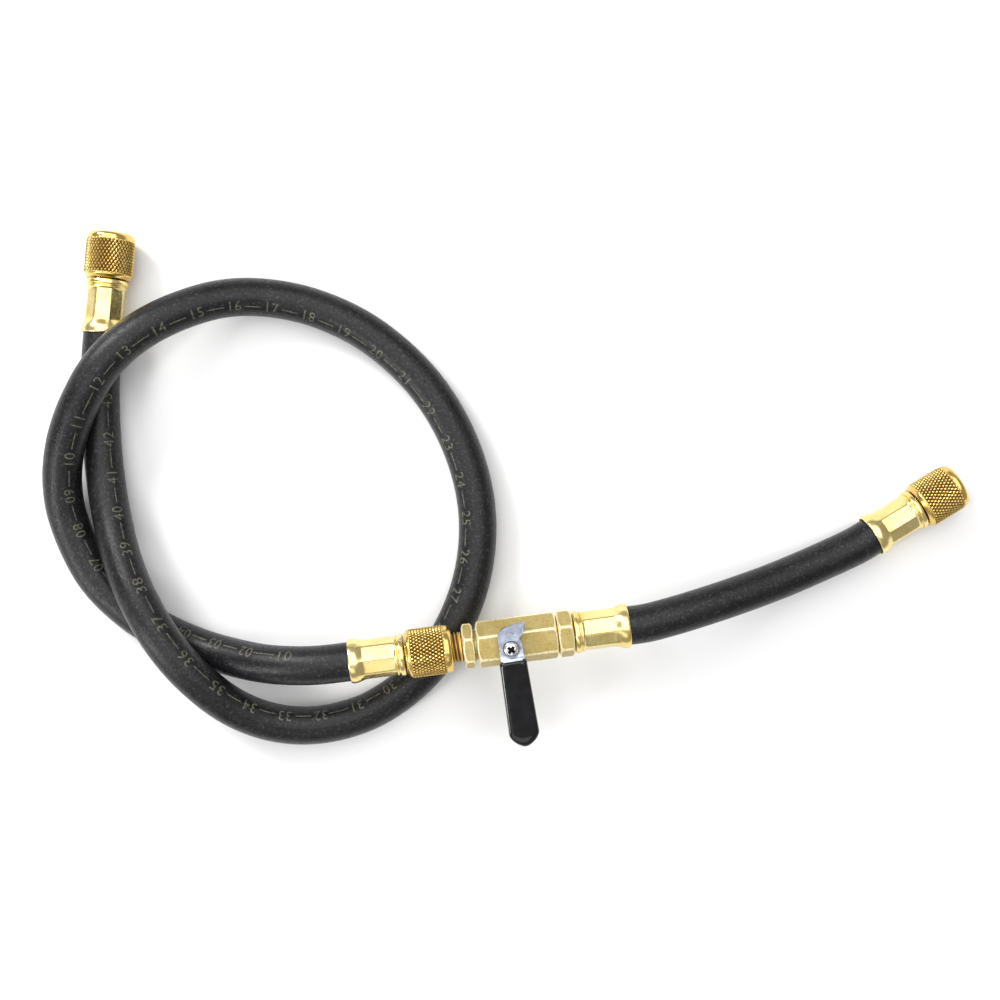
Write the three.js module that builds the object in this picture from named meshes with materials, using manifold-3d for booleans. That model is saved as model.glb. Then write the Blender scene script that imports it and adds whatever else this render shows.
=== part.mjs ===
// A refrigerant charging hose with an in-line shut-off valve, lying in a loop on a flat surface.
// Millimetres, +Z up. The origin is the middle of the footprint, on the surface that the hose lies on.
import * as THREE from "three";
import { mergeVertices } from "three/addons/utils/BufferGeometryUtils.js";
import Module from "manifold-3d";

const wasm = await Module();
wasm.setup();

// Clearances: between pieces that turn or slide, and between pieces that are clamped together.
const GAP = 0.3;
const SEAT_GAP = 0.15;

// Hose. Inside a ferrule it is crimped down to a neck, round the barb.
const HOSE_OD = 14;
const HOSE_BORE = 4.8;
const HOSE_NECK_OD = 11.1;
const HOSE_SIDES = 12;
const MAIN_HOSE_STEPS = 66;
const WHIP_HOSE_STEPS = 13;
const STRAIGHT_OUT = 6;

// Crimped ferrule: bell mouth, taper, waist and a collar beside the nut.
const FERRULE_LENGTH = 20;
const FERRULE_RIM_OD = 16;
const FERRULE_RIM_LENGTH = 2.5;
const FERRULE_TAPER = 2.8;
const FERRULE_WALL = 0.9;
const FERRULE_LIP = 0.25;
const COLLAR_OD = 15.4;
const COLLAR_LENGTH = 3.4;
const COLLAR_CHAMFER = 0.5;

// Insert: barbed shank in the hose, neck through ferrule and nut, and the head that the nut pulls on.
const INSERT_BORE = 2.6;
const BARB_START = 4.6;
const BARB_COUNT = 4;
const BARB_DEPTH = 0.35;
const NECK_OD = 6.4;
const HEAD_LENGTH = 3.3;

// Knurled swivel nut for a 7/16-20 flare thread, and its gasket.
const THREAD_OD = 11.1;
const THREAD_PITCH = 1.27;
const THREAD_DEPTH = 0.7;
const NUT_OD = 17.5;
const NUT_LENGTH = 16.8;
const NUT_WEB = 3;
const NUT_RIM_OD = 17;
const NUT_FRONT_RIM = 2.3;
const NUT_BACK_RIM = 2.4;
const NUT_GROOVE = 0.3;
const NUT_CHAMFER = 0.8;
const NUT_MOUTH_CHAMFER = 0.5;
const GASKET_THICKNESS = 2.5;
const GASKET_HOLE = 4.4;

// Inlet connector: male flare thread, hexagon collar and a plain neck before the valve body.
const THREAD_LENGTH = 11;
const FLARE_CONE = 1.9;
const CONNECTOR_BORE = 4.4;
const INLET_HEX_FLATS = 14.5;
const INLET_HEX_LENGTH = 4.1;
const INLET_NECK = 1;
const TAIL_OD = 10.4;

// Valve body, a hexagon bar with one flat up, and what turns in it.
const BODY_FLATS = 15;
const BODY_LENGTH = 28.9;
const HEX_CHAMFER = 0.5;
const STEM_INSET = 11.6;
const BALL_OD = 9.2;
const SEAT_THICKNESS = 3.4;
const SEAT_FACE_GAP = 0.4;
const STEM_OD = 4;
const STEM_SQUARE = 2.8;
const TANG_THICKNESS = 1.2;
const TANG_WIDTH = 3.4;
const TANG_DEPTH = 1;
const GLAND_OD = 7.2;
const GLAND_HEIGHT = 1.9;
const WHIP_TAIL_OD = 9;
const WHIP_TAIL_LENGTH = 6.8;

// Lever: a zinc-plated plate with a stop tab, cranked up into a dipped vinyl grip.
const LEVER_WIDTH = 8.3;
const LEVER_THICKNESS = 1.7;
const LEVER_REACH = 36;
const CRANK_START = 3.5;
const CRANK_RISE = 1.2;
const TONGUE_WIDTH = 7;
const TONGUE_SHORT_OF_TIP = 2.6;
const LEVER_LEAN = 2;
const NOTCH_START = 1.2;
const NOTCH_FLOOR = [-3.1, 3.3];
const TAB_ROOT = [-5.5, 5.8];
const TAB_TIP = [-8.1, 6.3];
const HEAD_CORNER = [-7.6, -1.7];
const HEAD_SHOULDER = [-5.6, -3.9];
const TAB_LEG = 0.9;
const LEG_SHORT_OF_TIP = 0.4;
const STOP_UNDER_FLAT = 0.2;
const GRIP_START = 4.9;
const GRIP_WIDTH_AT_START = 9.7;
const GRIP_WIDTH_AT_END = 10.8;
const GRIP_TIP_LENGTH = 5;
const GRIP_THICKNESS = 4.7;
const GRIP_ROUND = 1.4;
const WASHER_OD = 6.6;
const WASHER_THICKNESS = 0.6;
const SCREW_HEAD_OD = 5.2;
const SCREW_HEAD_HEIGHT = 1.7;
const SCREW_SHANK_OD = 2;
const SCREW_SHANK_LENGTH = 4.6;
const RECESS_WIDTH = 0.8;
const RECESS_LENGTH = 3;
const RECESS_DEPTH = 1;

// Hexagon of the connector between the valve body and the short hose.
const WHIP_HEX_FLATS = 15;
const WHIP_HEX_LENGTH = 5.6;

// Sides of the round pieces.
const NUT_SIDES = 28;
const FERRULE_SIDES = 24;
const SMALL_SIDES = 16;

// Where the fittings lie: the mouth of each ferrule, and the way that its nut points, in degrees.
const VALVE_END = { mouth: [-56.7, -62.7, 24.4], heading: 7.15, pitch: -2.2, roll: 8 };
const FREE_END = { mouth: [-149.5, 56.4, NUT_OD / 2], heading: 85, pitch: 0, roll: 0 };
const OUTLET = { mouth: [134.4, -18.3, NUT_OD / 2], heading: 31.4, pitch: 0, roll: 0 };

// The long hose as it lies, from the valve to its free end. It crosses itself twice and passes under the valve.
const MAIN_ROUTE = [
  [-69.7, -64.1, 24.4],
  [-77.7, -64.3, 23.1],
  [-86.7, -64.1, 20.1],
  [-94.7, -63.3, 16.2],
  [-103.7, -61.8, 11.9],
  [-113.2, -59.5, 8.7],
  [-124.7, -55, 7.3],
  [-137.7, -47.5, 7.1],
  [-152.2, -33.4, 7.5],
  [-161.7, -12.3, 9.9],
  [-163.1, 1.7, 13.2],
  [-160.4, 16, 17.6],
  [-154.5, 30, 21.1],
  [-145.7, 44.2, 22.4],
  [-134.2, 55.1, 21.2],
  [-120.2, 63.5, 17.5],
  [-104.7, 69, 12.7],
  [-89.2, 69.9, 9.1],
  [-70.7, 66.2, 7.3],
  [-50.2, 56.1, 7],
  [-29.7, 37, 7],
  [-16.2, 12.7, 7],
  [-11, -12.8, 7],
  [-14.7, -39.3, 7],
  [-28.7, -65.6, 7],
  [-48.7, -81.8, 7.1],
  [-68.2, -87.8, 8],
  [-84.7, -86.9, 11],
  [-99.2, -80.8, 15.5],
  [-112.2, -69.7, 21],
  [-123.1, -56.8, 23],
  [-133.2, -40.8, 21.2],
  [-140.5, -26, 16.2],
  [-145.6, -10.8, 11.1],
  [-149, 5.7, 8],
  [-150.7, 23.2, 7.1],
  [-150.8, 39.2, 7.6],
];

// The short hose, from the valve to its outlet nut.
const WHIP_ROUTE = [
  [58.8, -47.1, 19.6],
  [70.1, -43.9, 17.9],
  [85.3, -39.2, 14.8],
  [100.5, -33.9, 11.9],
  [115.6, -27.7, 9.8],
];

// Stations along a fitting's axis, from the mouth of its ferrule.
const HOSE_SHOULDER = FERRULE_RIM_LENGTH - GAP;
const FERRULE_WEB = FERRULE_LENGTH - COLLAR_LENGTH - GAP;
const HOSE_END = FERRULE_WEB - GAP;
const NUT_START = FERRULE_LENGTH + GAP;
const HEAD_START = NUT_START + NUT_WEB + GAP;
const GASKET_START = HEAD_START + HEAD_LENGTH + GAP;
const FLARE_TIP = GASKET_START + GASKET_THICKNESS + GAP;
const INLET_HEX_START = FLARE_TIP + THREAD_LENGTH;
const BODY_START = INLET_HEX_START + INLET_HEX_LENGTH + INLET_NECK;
const STEM_STATION = BODY_START + STEM_INSET;
const BODY_END = BODY_START + BODY_LENGTH;
const WHIP_MOUTH = BODY_END + GAP + WHIP_HEX_LENGTH + GAP + FERRULE_LENGTH;

// Radii and heights that follow from the sizes.
const HOSE_R = HOSE_OD / 2;
const NECK_IN_FERRULE_R = HOSE_NECK_OD / 2;
const SHANK_R = HOSE_BORE / 2 - GAP;
const NUT_BORE_R = THREAD_OD / 2 + GAP;
const HEAD_R = NUT_BORE_R - GAP;
const BODY_BORE_R = TAIL_OD / 2 + GAP;
const BALL_R = BALL_OD / 2;
const SEAT_OUTER_R = BODY_BORE_R - GAP;
const SEAT_INNER_R = CONNECTOR_BORE / 2 + 0.2;
const SEAT_SPHERE_R = BALL_R + SEAT_FACE_GAP;
const SEAT_RIM_R = SEAT_OUTER_R * 0.83;
const SEAT_FRONT = Math.sqrt(SEAT_SPHERE_R ** 2 - SEAT_RIM_R ** 2);
const SEAT_BACK = SEAT_FRONT + SEAT_THICKNESS;
const FLAT_TOP = BODY_FLATS / 2;
const GLAND_TOP = FLAT_TOP + GLAND_HEIGHT;
const LEVER_UNDERSIDE = GLAND_TOP + GAP;
const LEVER_TOP = LEVER_UNDERSIDE + LEVER_THICKNESS;
const WASHER_BOTTOM = LEVER_TOP + SEAT_GAP;
const SCREW_HEAD_BOTTOM = WASHER_BOTTOM + WASHER_THICKNESS + SEAT_GAP;
const GRIP_MIDDLE = LEVER_UNDERSIDE + CRANK_RISE + LEVER_THICKNESS / 2;
const TONGUE_END = LEVER_REACH - TONGUE_SHORT_OF_TIP;

const brass = { color: 0xc9a24a, metalness: 1, roughness: 0.3 };
const dullBrass = { color: 0xa8925f, metalness: 1, roughness: 0.45 };
const zinc = { color: 0xb9c0c9, metalness: 1, roughness: 0.3 };
const steel = { color: 0xd0d0cc, metalness: 1, roughness: 0.25 };
const rubber = { color: 0x2b2b2c, metalness: 0, roughness: 0.6 };
const vinyl = { color: 0x0b0b0c, metalness: 0, roughness: 0.18 };
const gasketRubber = { color: 0x1c1c1d, metalness: 0, roughness: 0.7 };
const seatPlastic = { color: 0xe9e7e0, metalness: 0, roughness: 0.5 };

const radians = THREE.MathUtils.degToRad;

// A closed geometry as a solid that can be joined and cut.
function solid(geometry) {
  const bare = geometry.clone();
  bare.deleteAttribute("normal");
  bare.deleteAttribute("uv");
  const merged = mergeVertices(bare, 1e-4);
  return new wasm.Manifold(
    new wasm.Mesh({
      numProp: 3,
      vertProperties: new Float32Array(merged.attributes.position.array),
      triVerts: new Uint32Array(merged.index.array),
    }),
  );
}

// A solid back as a geometry.
function geometryOf(made) {
  const { vertProperties, triVerts } = made.getMesh();
  const geometry = new THREE.BufferGeometry();
  geometry.setAttribute("position", new THREE.BufferAttribute(new Float32Array(vertProperties), 3));
  geometry.setIndex(new THREE.BufferAttribute(new Uint32Array(triVerts), 1));
  geometry.computeVertexNormals();
  return geometry;
}

function piece(name, geometry, look) {
  const mesh = new THREE.Mesh(geometry, new THREE.MeshStandardMaterial(look));
  mesh.name = name;
  return mesh;
}

// A turned piece about Y. The profile is a list of [radius, station] that runs round the section anticlockwise.
function turned(profile, sides) {
  const points = profile.map(([radius, station]) => new THREE.Vector2(radius, station));
  return new THREE.LatheGeometry([...points, points[0].clone()], sides);
}

// A box by its lowest and highest corners.
function block(low, high) {
  const size = high.map((value, i) => value - low[i]);
  const middle = high.map((value, i) => (value + low[i]) / 2);
  return new THREE.BoxGeometry(...size).translate(...middle);
}

// A flat outline of [x, y] points, raised from one height to another.
function plate(outline, bottom, top) {
  const shape = new THREE.Shape(outline.map(([x, y]) => new THREE.Vector2(x, y)));
  return new THREE.ExtrudeGeometry(shape, { depth: top - bottom, bevelEnabled: false }).translate(0, 0, bottom);
}

// A hexagon bar along Y with a flat facing up and its corners turned off at both ends.
function hexBar(flats, start, end) {
  const cornerR = flats / Math.sqrt(3);
  const endR = flats / 2 - HEX_CHAMFER / 2;
  const slope = (cornerR - endR) / 2;
  const bar = new THREE.CylinderGeometry(cornerR, cornerR, end - start, 6)
    .rotateY(Math.PI / 6)
    .translate(0, (start + end) / 2, 0);
  const turning = turned(
    [
      [0, start],
      [endR, start],
      [cornerR + GAP, start + slope + GAP / 2],
      [cornerR + GAP, end - slope - GAP / 2],
      [endR, end],
      [0, end],
    ],
    FERRULE_SIDES,
  );
  return solid(bar).intersect(solid(turning));
}

// A group whose +Y is a fitting's axis, pointing from its hose to its nut, with +Z up.
function fittingFrame({ mouth, heading, pitch, roll }) {
  const frame = new THREE.Group();
  frame.position.set(...mouth);
  frame.rotation.order = "ZXY";
  frame.rotation.set(radians(pitch), radians(roll), radians(heading - 90));
  return frame;
}

function ferrule() {
  const rimR = FERRULE_RIM_OD / 2;
  const mouthR = HOSE_R + GAP;
  const boreR = NECK_IN_FERRULE_R + GAP;
  const waistR = boreR + FERRULE_WALL;
  const taperEnd = FERRULE_RIM_LENGTH + FERRULE_TAPER;
  const collarStart = FERRULE_LENGTH - COLLAR_LENGTH;
  const collarR = COLLAR_OD / 2;
  const holeR = NECK_OD / 2 + GAP;
  return turned(
    [
      [mouthR, FERRULE_RIM_LENGTH],
      [mouthR, FERRULE_LIP],
      [mouthR + FERRULE_LIP / 2, 0],
      [rimR - FERRULE_LIP, 0],
      [rimR, FERRULE_LIP],
      [rimR, FERRULE_RIM_LENGTH],
      [waistR, taperEnd],
      [waistR, collarStart],
      [collarR - COLLAR_CHAMFER, collarStart],
      [collarR, collarStart + COLLAR_CHAMFER],
      [collarR, FERRULE_LENGTH - COLLAR_CHAMFER],
      [collarR - COLLAR_CHAMFER, FERRULE_LENGTH],
      [holeR, FERRULE_LENGTH],
      [holeR, FERRULE_WEB],
      [boreR, FERRULE_WEB],
      [boreR, taperEnd],
    ],
    FERRULE_SIDES,
  );
}

// The barbed shank, from its tip to the plane where the hose ends: each barb rises slowly and drops square.
function barbs() {
  const pitch = (HOSE_END - BARB_START) / BARB_COUNT;
  const points = [];
  for (let i = 0; i < BARB_COUNT; i++) {
    const start = BARB_START + i * pitch;
    points.push([SHANK_R - BARB_DEPTH, start], [SHANK_R, start + pitch * 0.8]);
  }
  return [...points, [SHANK_R - BARB_DEPTH, HOSE_END]];
}

// The insert of a swivel end, whose head lies inside the nut.
function swivelInsert() {
  const neckR = NECK_OD / 2;
  const boreR = INSERT_BORE / 2;
  return turned(
    [
      [boreR, BARB_START],
      ...barbs(),
      [neckR, FERRULE_WEB],
      [neckR, HEAD_START],
      [HEAD_R, HEAD_START],
      [HEAD_R, HEAD_START + HEAD_LENGTH],
      [boreR, HEAD_START + HEAD_LENGTH],
    ],
    SMALL_SIDES,
  );
}

function nut() {
  const front = NUT_START + NUT_LENGTH;
  const rimR = NUT_RIM_OD / 2;
  const knurlStart = NUT_START + NUT_BACK_RIM;
  const knurlEnd = front - NUT_FRONT_RIM;
  const holeR = NECK_OD / 2 + GAP;
  return turned(
    [
      [holeR, NUT_START],
      [rimR - NUT_CHAMFER, NUT_START],
      [rimR, NUT_START + NUT_CHAMFER],
      [rimR, knurlStart],
      [NUT_OD / 2, knurlStart + NUT_GROOVE],
      [NUT_OD / 2, knurlEnd - NUT_GROOVE],
      [rimR, knurlEnd],
      [rimR, front - NUT_CHAMFER],
      [rimR - NUT_CHAMFER, front],
      [NUT_BORE_R + NUT_MOUTH_CHAMFER, front],
      [NUT_BORE_R, front - NUT_MOUTH_CHAMFER],
      [NUT_BORE_R, NUT_START + NUT_WEB],
      [holeR, NUT_START + NUT_WEB],
    ],
    NUT_SIDES,
  );
}

function gasket() {
  const outerR = NUT_BORE_R - GAP;
  return turned(
    [
      [GASKET_HOLE / 2, GASKET_START],
      [outerR, GASKET_START],
      [outerR, GASKET_START + GASKET_THICKNESS],
      [GASKET_HOLE / 2, GASKET_START + GASKET_THICKNESS],
    ],
    SMALL_SIDES,
  );
}

// The pieces on a hose end with a swivel nut.
function swivelEnd(prefix) {
  return [
    piece(`${prefix}_ferrule`, ferrule(), brass),
    piece(`${prefix}_insert`, swivelInsert(), dullBrass),
    piece(`${prefix}_nut`, nut(), brass),
    piece(`${prefix}_gasket`, gasket(), gasketRubber),
  ];
}

function inletConnector() {
  const threadR = THREAD_OD / 2;
  const rootR = threadR - THREAD_DEPTH;
  const boreR = CONNECTOR_BORE / 2;
  const tailEnd = STEM_STATION - SEAT_BACK - GAP;
  const hexEnd = INLET_HEX_START + INLET_HEX_LENGTH;
  const threadStart = FLARE_TIP + FLARE_CONE;
  const turns = Math.floor((INLET_HEX_START - threadStart) / THREAD_PITCH);
  const thread = [];
  for (let i = 0; i < turns; i++) {
    const root = threadStart + i * THREAD_PITCH;
    thread.push([rootR, root], [threadR, root + THREAD_PITCH / 2]);
  }
  const turning = turned(
    [
      [boreR, FLARE_TIP],
      [rootR - FLARE_CONE + THREAD_DEPTH, FLARE_TIP],
      ...thread,
      [rootR, threadStart + turns * THREAD_PITCH],
      [rootR, INLET_HEX_START + GAP],
      [TAIL_OD / 2, hexEnd - GAP],
      [TAIL_OD / 2, tailEnd],
      [boreR, tailEnd],
    ],
    NUT_SIDES,
  );
  const bore = new THREE.CylinderGeometry(boreR, boreR, INLET_HEX_LENGTH + 2, NUT_SIDES).translate(
    0,
    INLET_HEX_START + INLET_HEX_LENGTH / 2,
    0,
  );
  const hexagon = hexBar(INLET_HEX_FLATS, INLET_HEX_START, hexEnd).subtract(solid(bore));
  return geometryOf(solid(turning).add(hexagon));
}

// The connector that carries the short hose: threaded tail, hexagon, neck and barbs. Built from its ferrule's mouth.
function whipConnector() {
  const boreR = INSERT_BORE / 2;
  const hexStart = FERRULE_LENGTH + GAP;
  const hexEnd = hexStart + WHIP_HEX_LENGTH;
  const tailEnd = hexEnd + GAP + WHIP_TAIL_LENGTH;
  const turning = turned(
    [
      [boreR, BARB_START],
      ...barbs(),
      [NECK_OD / 2, FERRULE_WEB],
      [NECK_OD / 2, hexStart + GAP],
      [WHIP_TAIL_OD / 2, hexEnd - GAP],
      [WHIP_TAIL_OD / 2, tailEnd],
      [boreR, tailEnd],
    ],
    SMALL_SIDES,
  );
  const bore = new THREE.CylinderGeometry(boreR, boreR, WHIP_HEX_LENGTH + 2, SMALL_SIDES).translate(
    0,
    (hexStart + hexEnd) / 2,
    0,
  );
  const hexagon = hexBar(WHIP_HEX_FLATS, hexStart, hexEnd).subtract(solid(bore));
  return geometryOf(solid(turning).add(hexagon));
}

// The valve's own pieces are built about the crossing of flow axis (Y) and stem axis (Z).
function valveBody() {
  const start = BODY_START - STEM_STATION;
  const end = BODY_END - STEM_STATION;
  const whipBoreR = WHIP_TAIL_OD / 2 + GAP;
  const whipBoreStart = end - WHIP_TAIL_LENGTH - GAP;
  const passageR = CONNECTOR_BORE / 2;
  const shoulder = SEAT_BACK + GAP;
  const bores = turned(
    [
      [0, start - 1],
      [BODY_BORE_R, start - 1],
      [BODY_BORE_R, shoulder],
      [passageR, shoulder],
      [passageR, whipBoreStart],
      [whipBoreR, whipBoreStart],
      [whipBoreR, end + 1],
      [0, end + 1],
    ],
    FERRULE_SIDES,
  );
  const glandFoot = BODY_BORE_R + GAP;
  const gland = new THREE.CylinderGeometry(GLAND_OD / 2, GLAND_OD / 2, GLAND_TOP - glandFoot, FERRULE_SIDES)
    .rotateX(Math.PI / 2)
    .translate(0, 0, (GLAND_TOP + glandFoot) / 2);
  const stemHoleR = STEM_OD / 2 + GAP;
  const stemHole = new THREE.CylinderGeometry(stemHoleR, stemHoleR, GLAND_TOP, SMALL_SIDES)
    .rotateX(Math.PI / 2)
    .translate(0, 0, GLAND_TOP / 2 + 1);
  const outside = hexBar(BODY_FLATS, start, end).add(solid(gland));
  return geometryOf(outside.subtract(solid(bores)).subtract(solid(stemHole)));
}

// The ball is shut at rest: its bore lies across the flow, under the lever.
function valveBall() {
  const sphere = new THREE.SphereGeometry(BALL_R, 20, 12);
  const boreR = CONNECTOR_BORE / 2;
  const bore = new THREE.CylinderGeometry(boreR, boreR, BALL_OD + 2, SMALL_SIDES).rotateZ(Math.PI / 2);
  const half = TANG_THICKNESS / 2 + GAP;
  const slot = block([-BALL_R, -half, BALL_R - TANG_DEPTH - GAP], [BALL_R, half, BALL_R + 1]);
  return geometryOf(solid(sphere).subtract(solid(bore)).subtract(solid(slot)));
}

// A seat ring for the ball, on the outlet side when side is 1 and on the inlet side when it is -1.
function seat(side) {
  const holeFace = Math.sqrt(SEAT_SPHERE_R ** 2 - SEAT_INNER_R ** 2);
  const ring = turned(
    [
      [SEAT_INNER_R, holeFace],
      [SEAT_RIM_R, SEAT_FRONT],
      [SEAT_OUTER_R, SEAT_FRONT],
      [SEAT_OUTER_R, SEAT_BACK],
      [SEAT_INNER_R, SEAT_BACK],
    ],
    SMALL_SIDES,
  );
  return side > 0 ? ring : ring.rotateX(Math.PI);
}

function valveStem() {
  const shankBottom = BALL_R + GAP;
  const squareTop = LEVER_TOP - SEAT_GAP;
  const shank = new THREE.CylinderGeometry(STEM_OD / 2, STEM_OD / 2, GLAND_TOP - shankBottom, SMALL_SIDES)
    .rotateX(Math.PI / 2)
    .translate(0, 0, (GLAND_TOP + shankBottom) / 2);
  const halfSquare = STEM_SQUARE / 2;
  const square = block([-halfSquare, -halfSquare, GLAND_TOP - 1], [halfSquare, halfSquare, squareTop]);
  const tang = block(
    [-TANG_WIDTH / 2, -TANG_THICKNESS / 2, BALL_R - TANG_DEPTH],
    [TANG_WIDTH / 2, TANG_THICKNESS / 2, shankBottom + 1],
  );
  const holeR = SCREW_SHANK_OD / 2 + SEAT_GAP;
  const holeDepth = SCREW_SHANK_LENGTH;
  const hole = new THREE.CylinderGeometry(holeR, holeR, holeDepth, SMALL_SIDES)
    .rotateX(Math.PI / 2)
    .translate(0, 0, squareTop + 1 - holeDepth / 2);
  return geometryOf(solid(shank).add(solid(square)).add(solid(tang)).subtract(solid(hole)));
}

// Plan of the lever plate. +X runs down the handle; the stop tab points back and along the flow.
function leverOutline() {
  const half = LEVER_WIDTH / 2;
  const tongue = TONGUE_WIDTH / 2;
  const shoulder = GRIP_START - GAP;
  return [
    [shoulder, half],
    [-NOTCH_START, half],
    NOTCH_FLOOR,
    TAB_ROOT,
    TAB_TIP,
    HEAD_CORNER,
    HEAD_SHOULDER,
    [shoulder, -half],
    [shoulder, -tongue],
    [TONGUE_END, -tongue],
    [TONGUE_END, tongue],
    [shoulder, tongue],
  ];
}

function lever() {
  const reach = Math.hypot(...TAB_TIP);
  const crankEnd = CRANK_START + CRANK_RISE;
  const side = [
    [-reach, LEVER_UNDERSIDE],
    [CRANK_START, LEVER_UNDERSIDE],
    [crankEnd, LEVER_UNDERSIDE + CRANK_RISE],
    [TONGUE_END, LEVER_UNDERSIDE + CRANK_RISE],
    [TONGUE_END, LEVER_TOP + CRANK_RISE],
    [crankEnd, LEVER_TOP + CRANK_RISE],
    [CRANK_START, LEVER_TOP],
    [-reach, LEVER_TOP],
  ];
  const strip = plate(side, -reach, reach).rotateX(Math.PI / 2);
  const plan = plate(leverOutline(), 0, LEVER_TOP + CRANK_RISE + 1);
  const edge = new THREE.Vector2(...TAB_TIP).sub(new THREE.Vector2(...TAB_ROOT));
  const leg = block(
    [0, 0, FLAT_TOP - STOP_UNDER_FLAT],
    [edge.length() - LEG_SHORT_OF_TIP, TAB_LEG, LEVER_UNDERSIDE + LEVER_THICKNESS / 2],
  )
    .rotateZ(edge.angle())
    .translate(...TAB_ROOT, 0);
  const half = STEM_SQUARE / 2 + GAP;
  const hole = block([-half, -half, GLAND_TOP], [half, half, LEVER_TOP + 1]);
  return geometryOf(solid(strip).intersect(solid(plan)).add(solid(leg)).subtract(solid(hole)));
}

function leverGrip() {
  const half = GRIP_WIDTH_AT_START / 2;
  const wide = GRIP_WIDTH_AT_END / 2;
  const tipStart = LEVER_REACH - GRIP_TIP_LENGTH;
  const shape = new THREE.Shape();
  shape.moveTo(GRIP_START, -half);
  shape.lineTo(tipStart, -wide);
  shape.quadraticCurveTo(LEVER_REACH - 1, -wide * 0.8, LEVER_REACH, 0);
  shape.quadraticCurveTo(LEVER_REACH - 1, wide * 0.8, tipStart, wide);
  shape.lineTo(GRIP_START, half);
  const body = new THREE.ExtrudeGeometry(shape, {
    depth: GRIP_THICKNESS - 2 * GRIP_ROUND,
    bevelThickness: GRIP_ROUND,
    bevelSize: GRIP_ROUND,
    bevelOffset: -GRIP_ROUND,
    bevelSegments: 2,
    curveSegments: 4,
  }).translate(0, 0, GRIP_MIDDLE - GRIP_THICKNESS / 2 + GRIP_ROUND);
  const pocketHalf = TONGUE_WIDTH / 2 + GAP;
  const pocketDepth = LEVER_THICKNESS / 2 + GAP;
  const pocket = block(
    [GRIP_START - 1, -pocketHalf, GRIP_MIDDLE - pocketDepth],
    [TONGUE_END + GAP, pocketHalf, GRIP_MIDDLE + pocketDepth],
  );
  return geometryOf(solid(body).subtract(solid(pocket)));
}

function leverWasher() {
  const holeR = SCREW_SHANK_OD / 2 + SEAT_GAP;
  return turned(
    [
      [holeR, WASHER_BOTTOM],
      [WASHER_OD / 2, WASHER_BOTTOM],
      [WASHER_OD / 2, WASHER_BOTTOM + WASHER_THICKNESS],
      [holeR, WASHER_BOTTOM + WASHER_THICKNESS],
    ],
    FERRULE_SIDES,
  ).rotateX(Math.PI / 2);
}

// Pan-head screw with a cross recess.
function leverScrew() {
  const shankR = SCREW_SHANK_OD / 2;
  const headR = SCREW_HEAD_OD / 2;
  const top = SCREW_HEAD_BOTTOM + SCREW_HEAD_HEIGHT;
  const shankEnd = SCREW_HEAD_BOTTOM - SCREW_SHANK_LENGTH;
  const turning = turned(
    [
      [0, shankEnd],
      [shankR, shankEnd],
      [shankR, SCREW_HEAD_BOTTOM],
      [headR, SCREW_HEAD_BOTTOM],
      [headR, SCREW_HEAD_BOTTOM + SCREW_HEAD_HEIGHT * 0.5],
      [headR * 0.8, top - SCREW_HEAD_HEIGHT * 0.15],
      [headR * 0.4, top],
      [0, top],
    ],
    FERRULE_SIDES,
  ).rotateX(Math.PI / 2);
  const long = RECESS_LENGTH / 2;
  const narrow = RECESS_WIDTH / 2;
  const slot = block([-long, -narrow, top - RECESS_DEPTH], [long, narrow, top + 1]);
  const cross = slot.clone().rotateZ(Math.PI / 2);
  return geometryOf(solid(turning).subtract(solid(slot)).subtract(solid(cross)));
}

// A place on a fitting's axis, in the part's frame.
function onAxis(frame, station) {
  return frame.localToWorld(new THREE.Vector3(0, station, 0));
}

// The crimped end of a hose inside a ferrule, with the hole that the barbs fill.
function hoseEnd(frame) {
  const shoulderR = HOSE_R * Math.cos(Math.PI / HOSE_SIDES) - 0.15;
  const boreR = HOSE_BORE / 2;
  const end = turned(
    [
      [0, HOSE_SHOULDER - 1],
      [shoulderR - 0.3, HOSE_SHOULDER - 1],
      [shoulderR, HOSE_SHOULDER],
      [NECK_IN_FERRULE_R, FERRULE_RIM_LENGTH + FERRULE_TAPER - GAP],
      [NECK_IN_FERRULE_R, HOSE_END],
      [boreR, HOSE_END],
      [boreR, BARB_START - GAP],
      [0, BARB_START - GAP],
    ],
    SMALL_SIDES,
  );
  return solid(end.applyMatrix4(frame.matrixWorld));
}

// A hose from one ferrule to another by way of the route's points.
function hose(from, route, to, steps) {
  const path = new THREE.CatmullRomCurve3(
    [
      onAxis(from, HOSE_SHOULDER),
      onAxis(from, -STRAIGHT_OUT),
      ...route.map((point) => new THREE.Vector3(...point)),
      onAxis(to, -STRAIGHT_OUT),
      onAxis(to, HOSE_SHOULDER),
    ],
    false,
    "centripetal",
  );
  const section = new THREE.Shape();
  for (let i = 0; i < HOSE_SIDES; i++) {
    const angle = (2 * Math.PI * i) / HOSE_SIDES;
    const corner = [HOSE_R * Math.cos(angle), HOSE_R * Math.sin(angle)];
    if (i) section.lineTo(...corner);
    else section.moveTo(...corner);
  }
  const tube = new THREE.ExtrudeGeometry(section, { steps, extrudePath: path });
  return geometryOf(solid(tube).add(hoseEnd(from)).add(hoseEnd(to)));
}

const part = new THREE.Group();

const valveEnd = fittingFrame(VALVE_END);
valveEnd.add(...swivelEnd("valve_end"));
valveEnd.add(piece("inlet_connector", inletConnector(), dullBrass));

const valve = new THREE.Group();
valve.position.y = STEM_STATION;
valve.add(piece("valve_body", valveBody(), dullBrass));
valve.add(piece("inlet_seat", seat(-1), seatPlastic));
valve.add(piece("outlet_seat", seat(1), seatPlastic));
valveEnd.add(valve);

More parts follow.
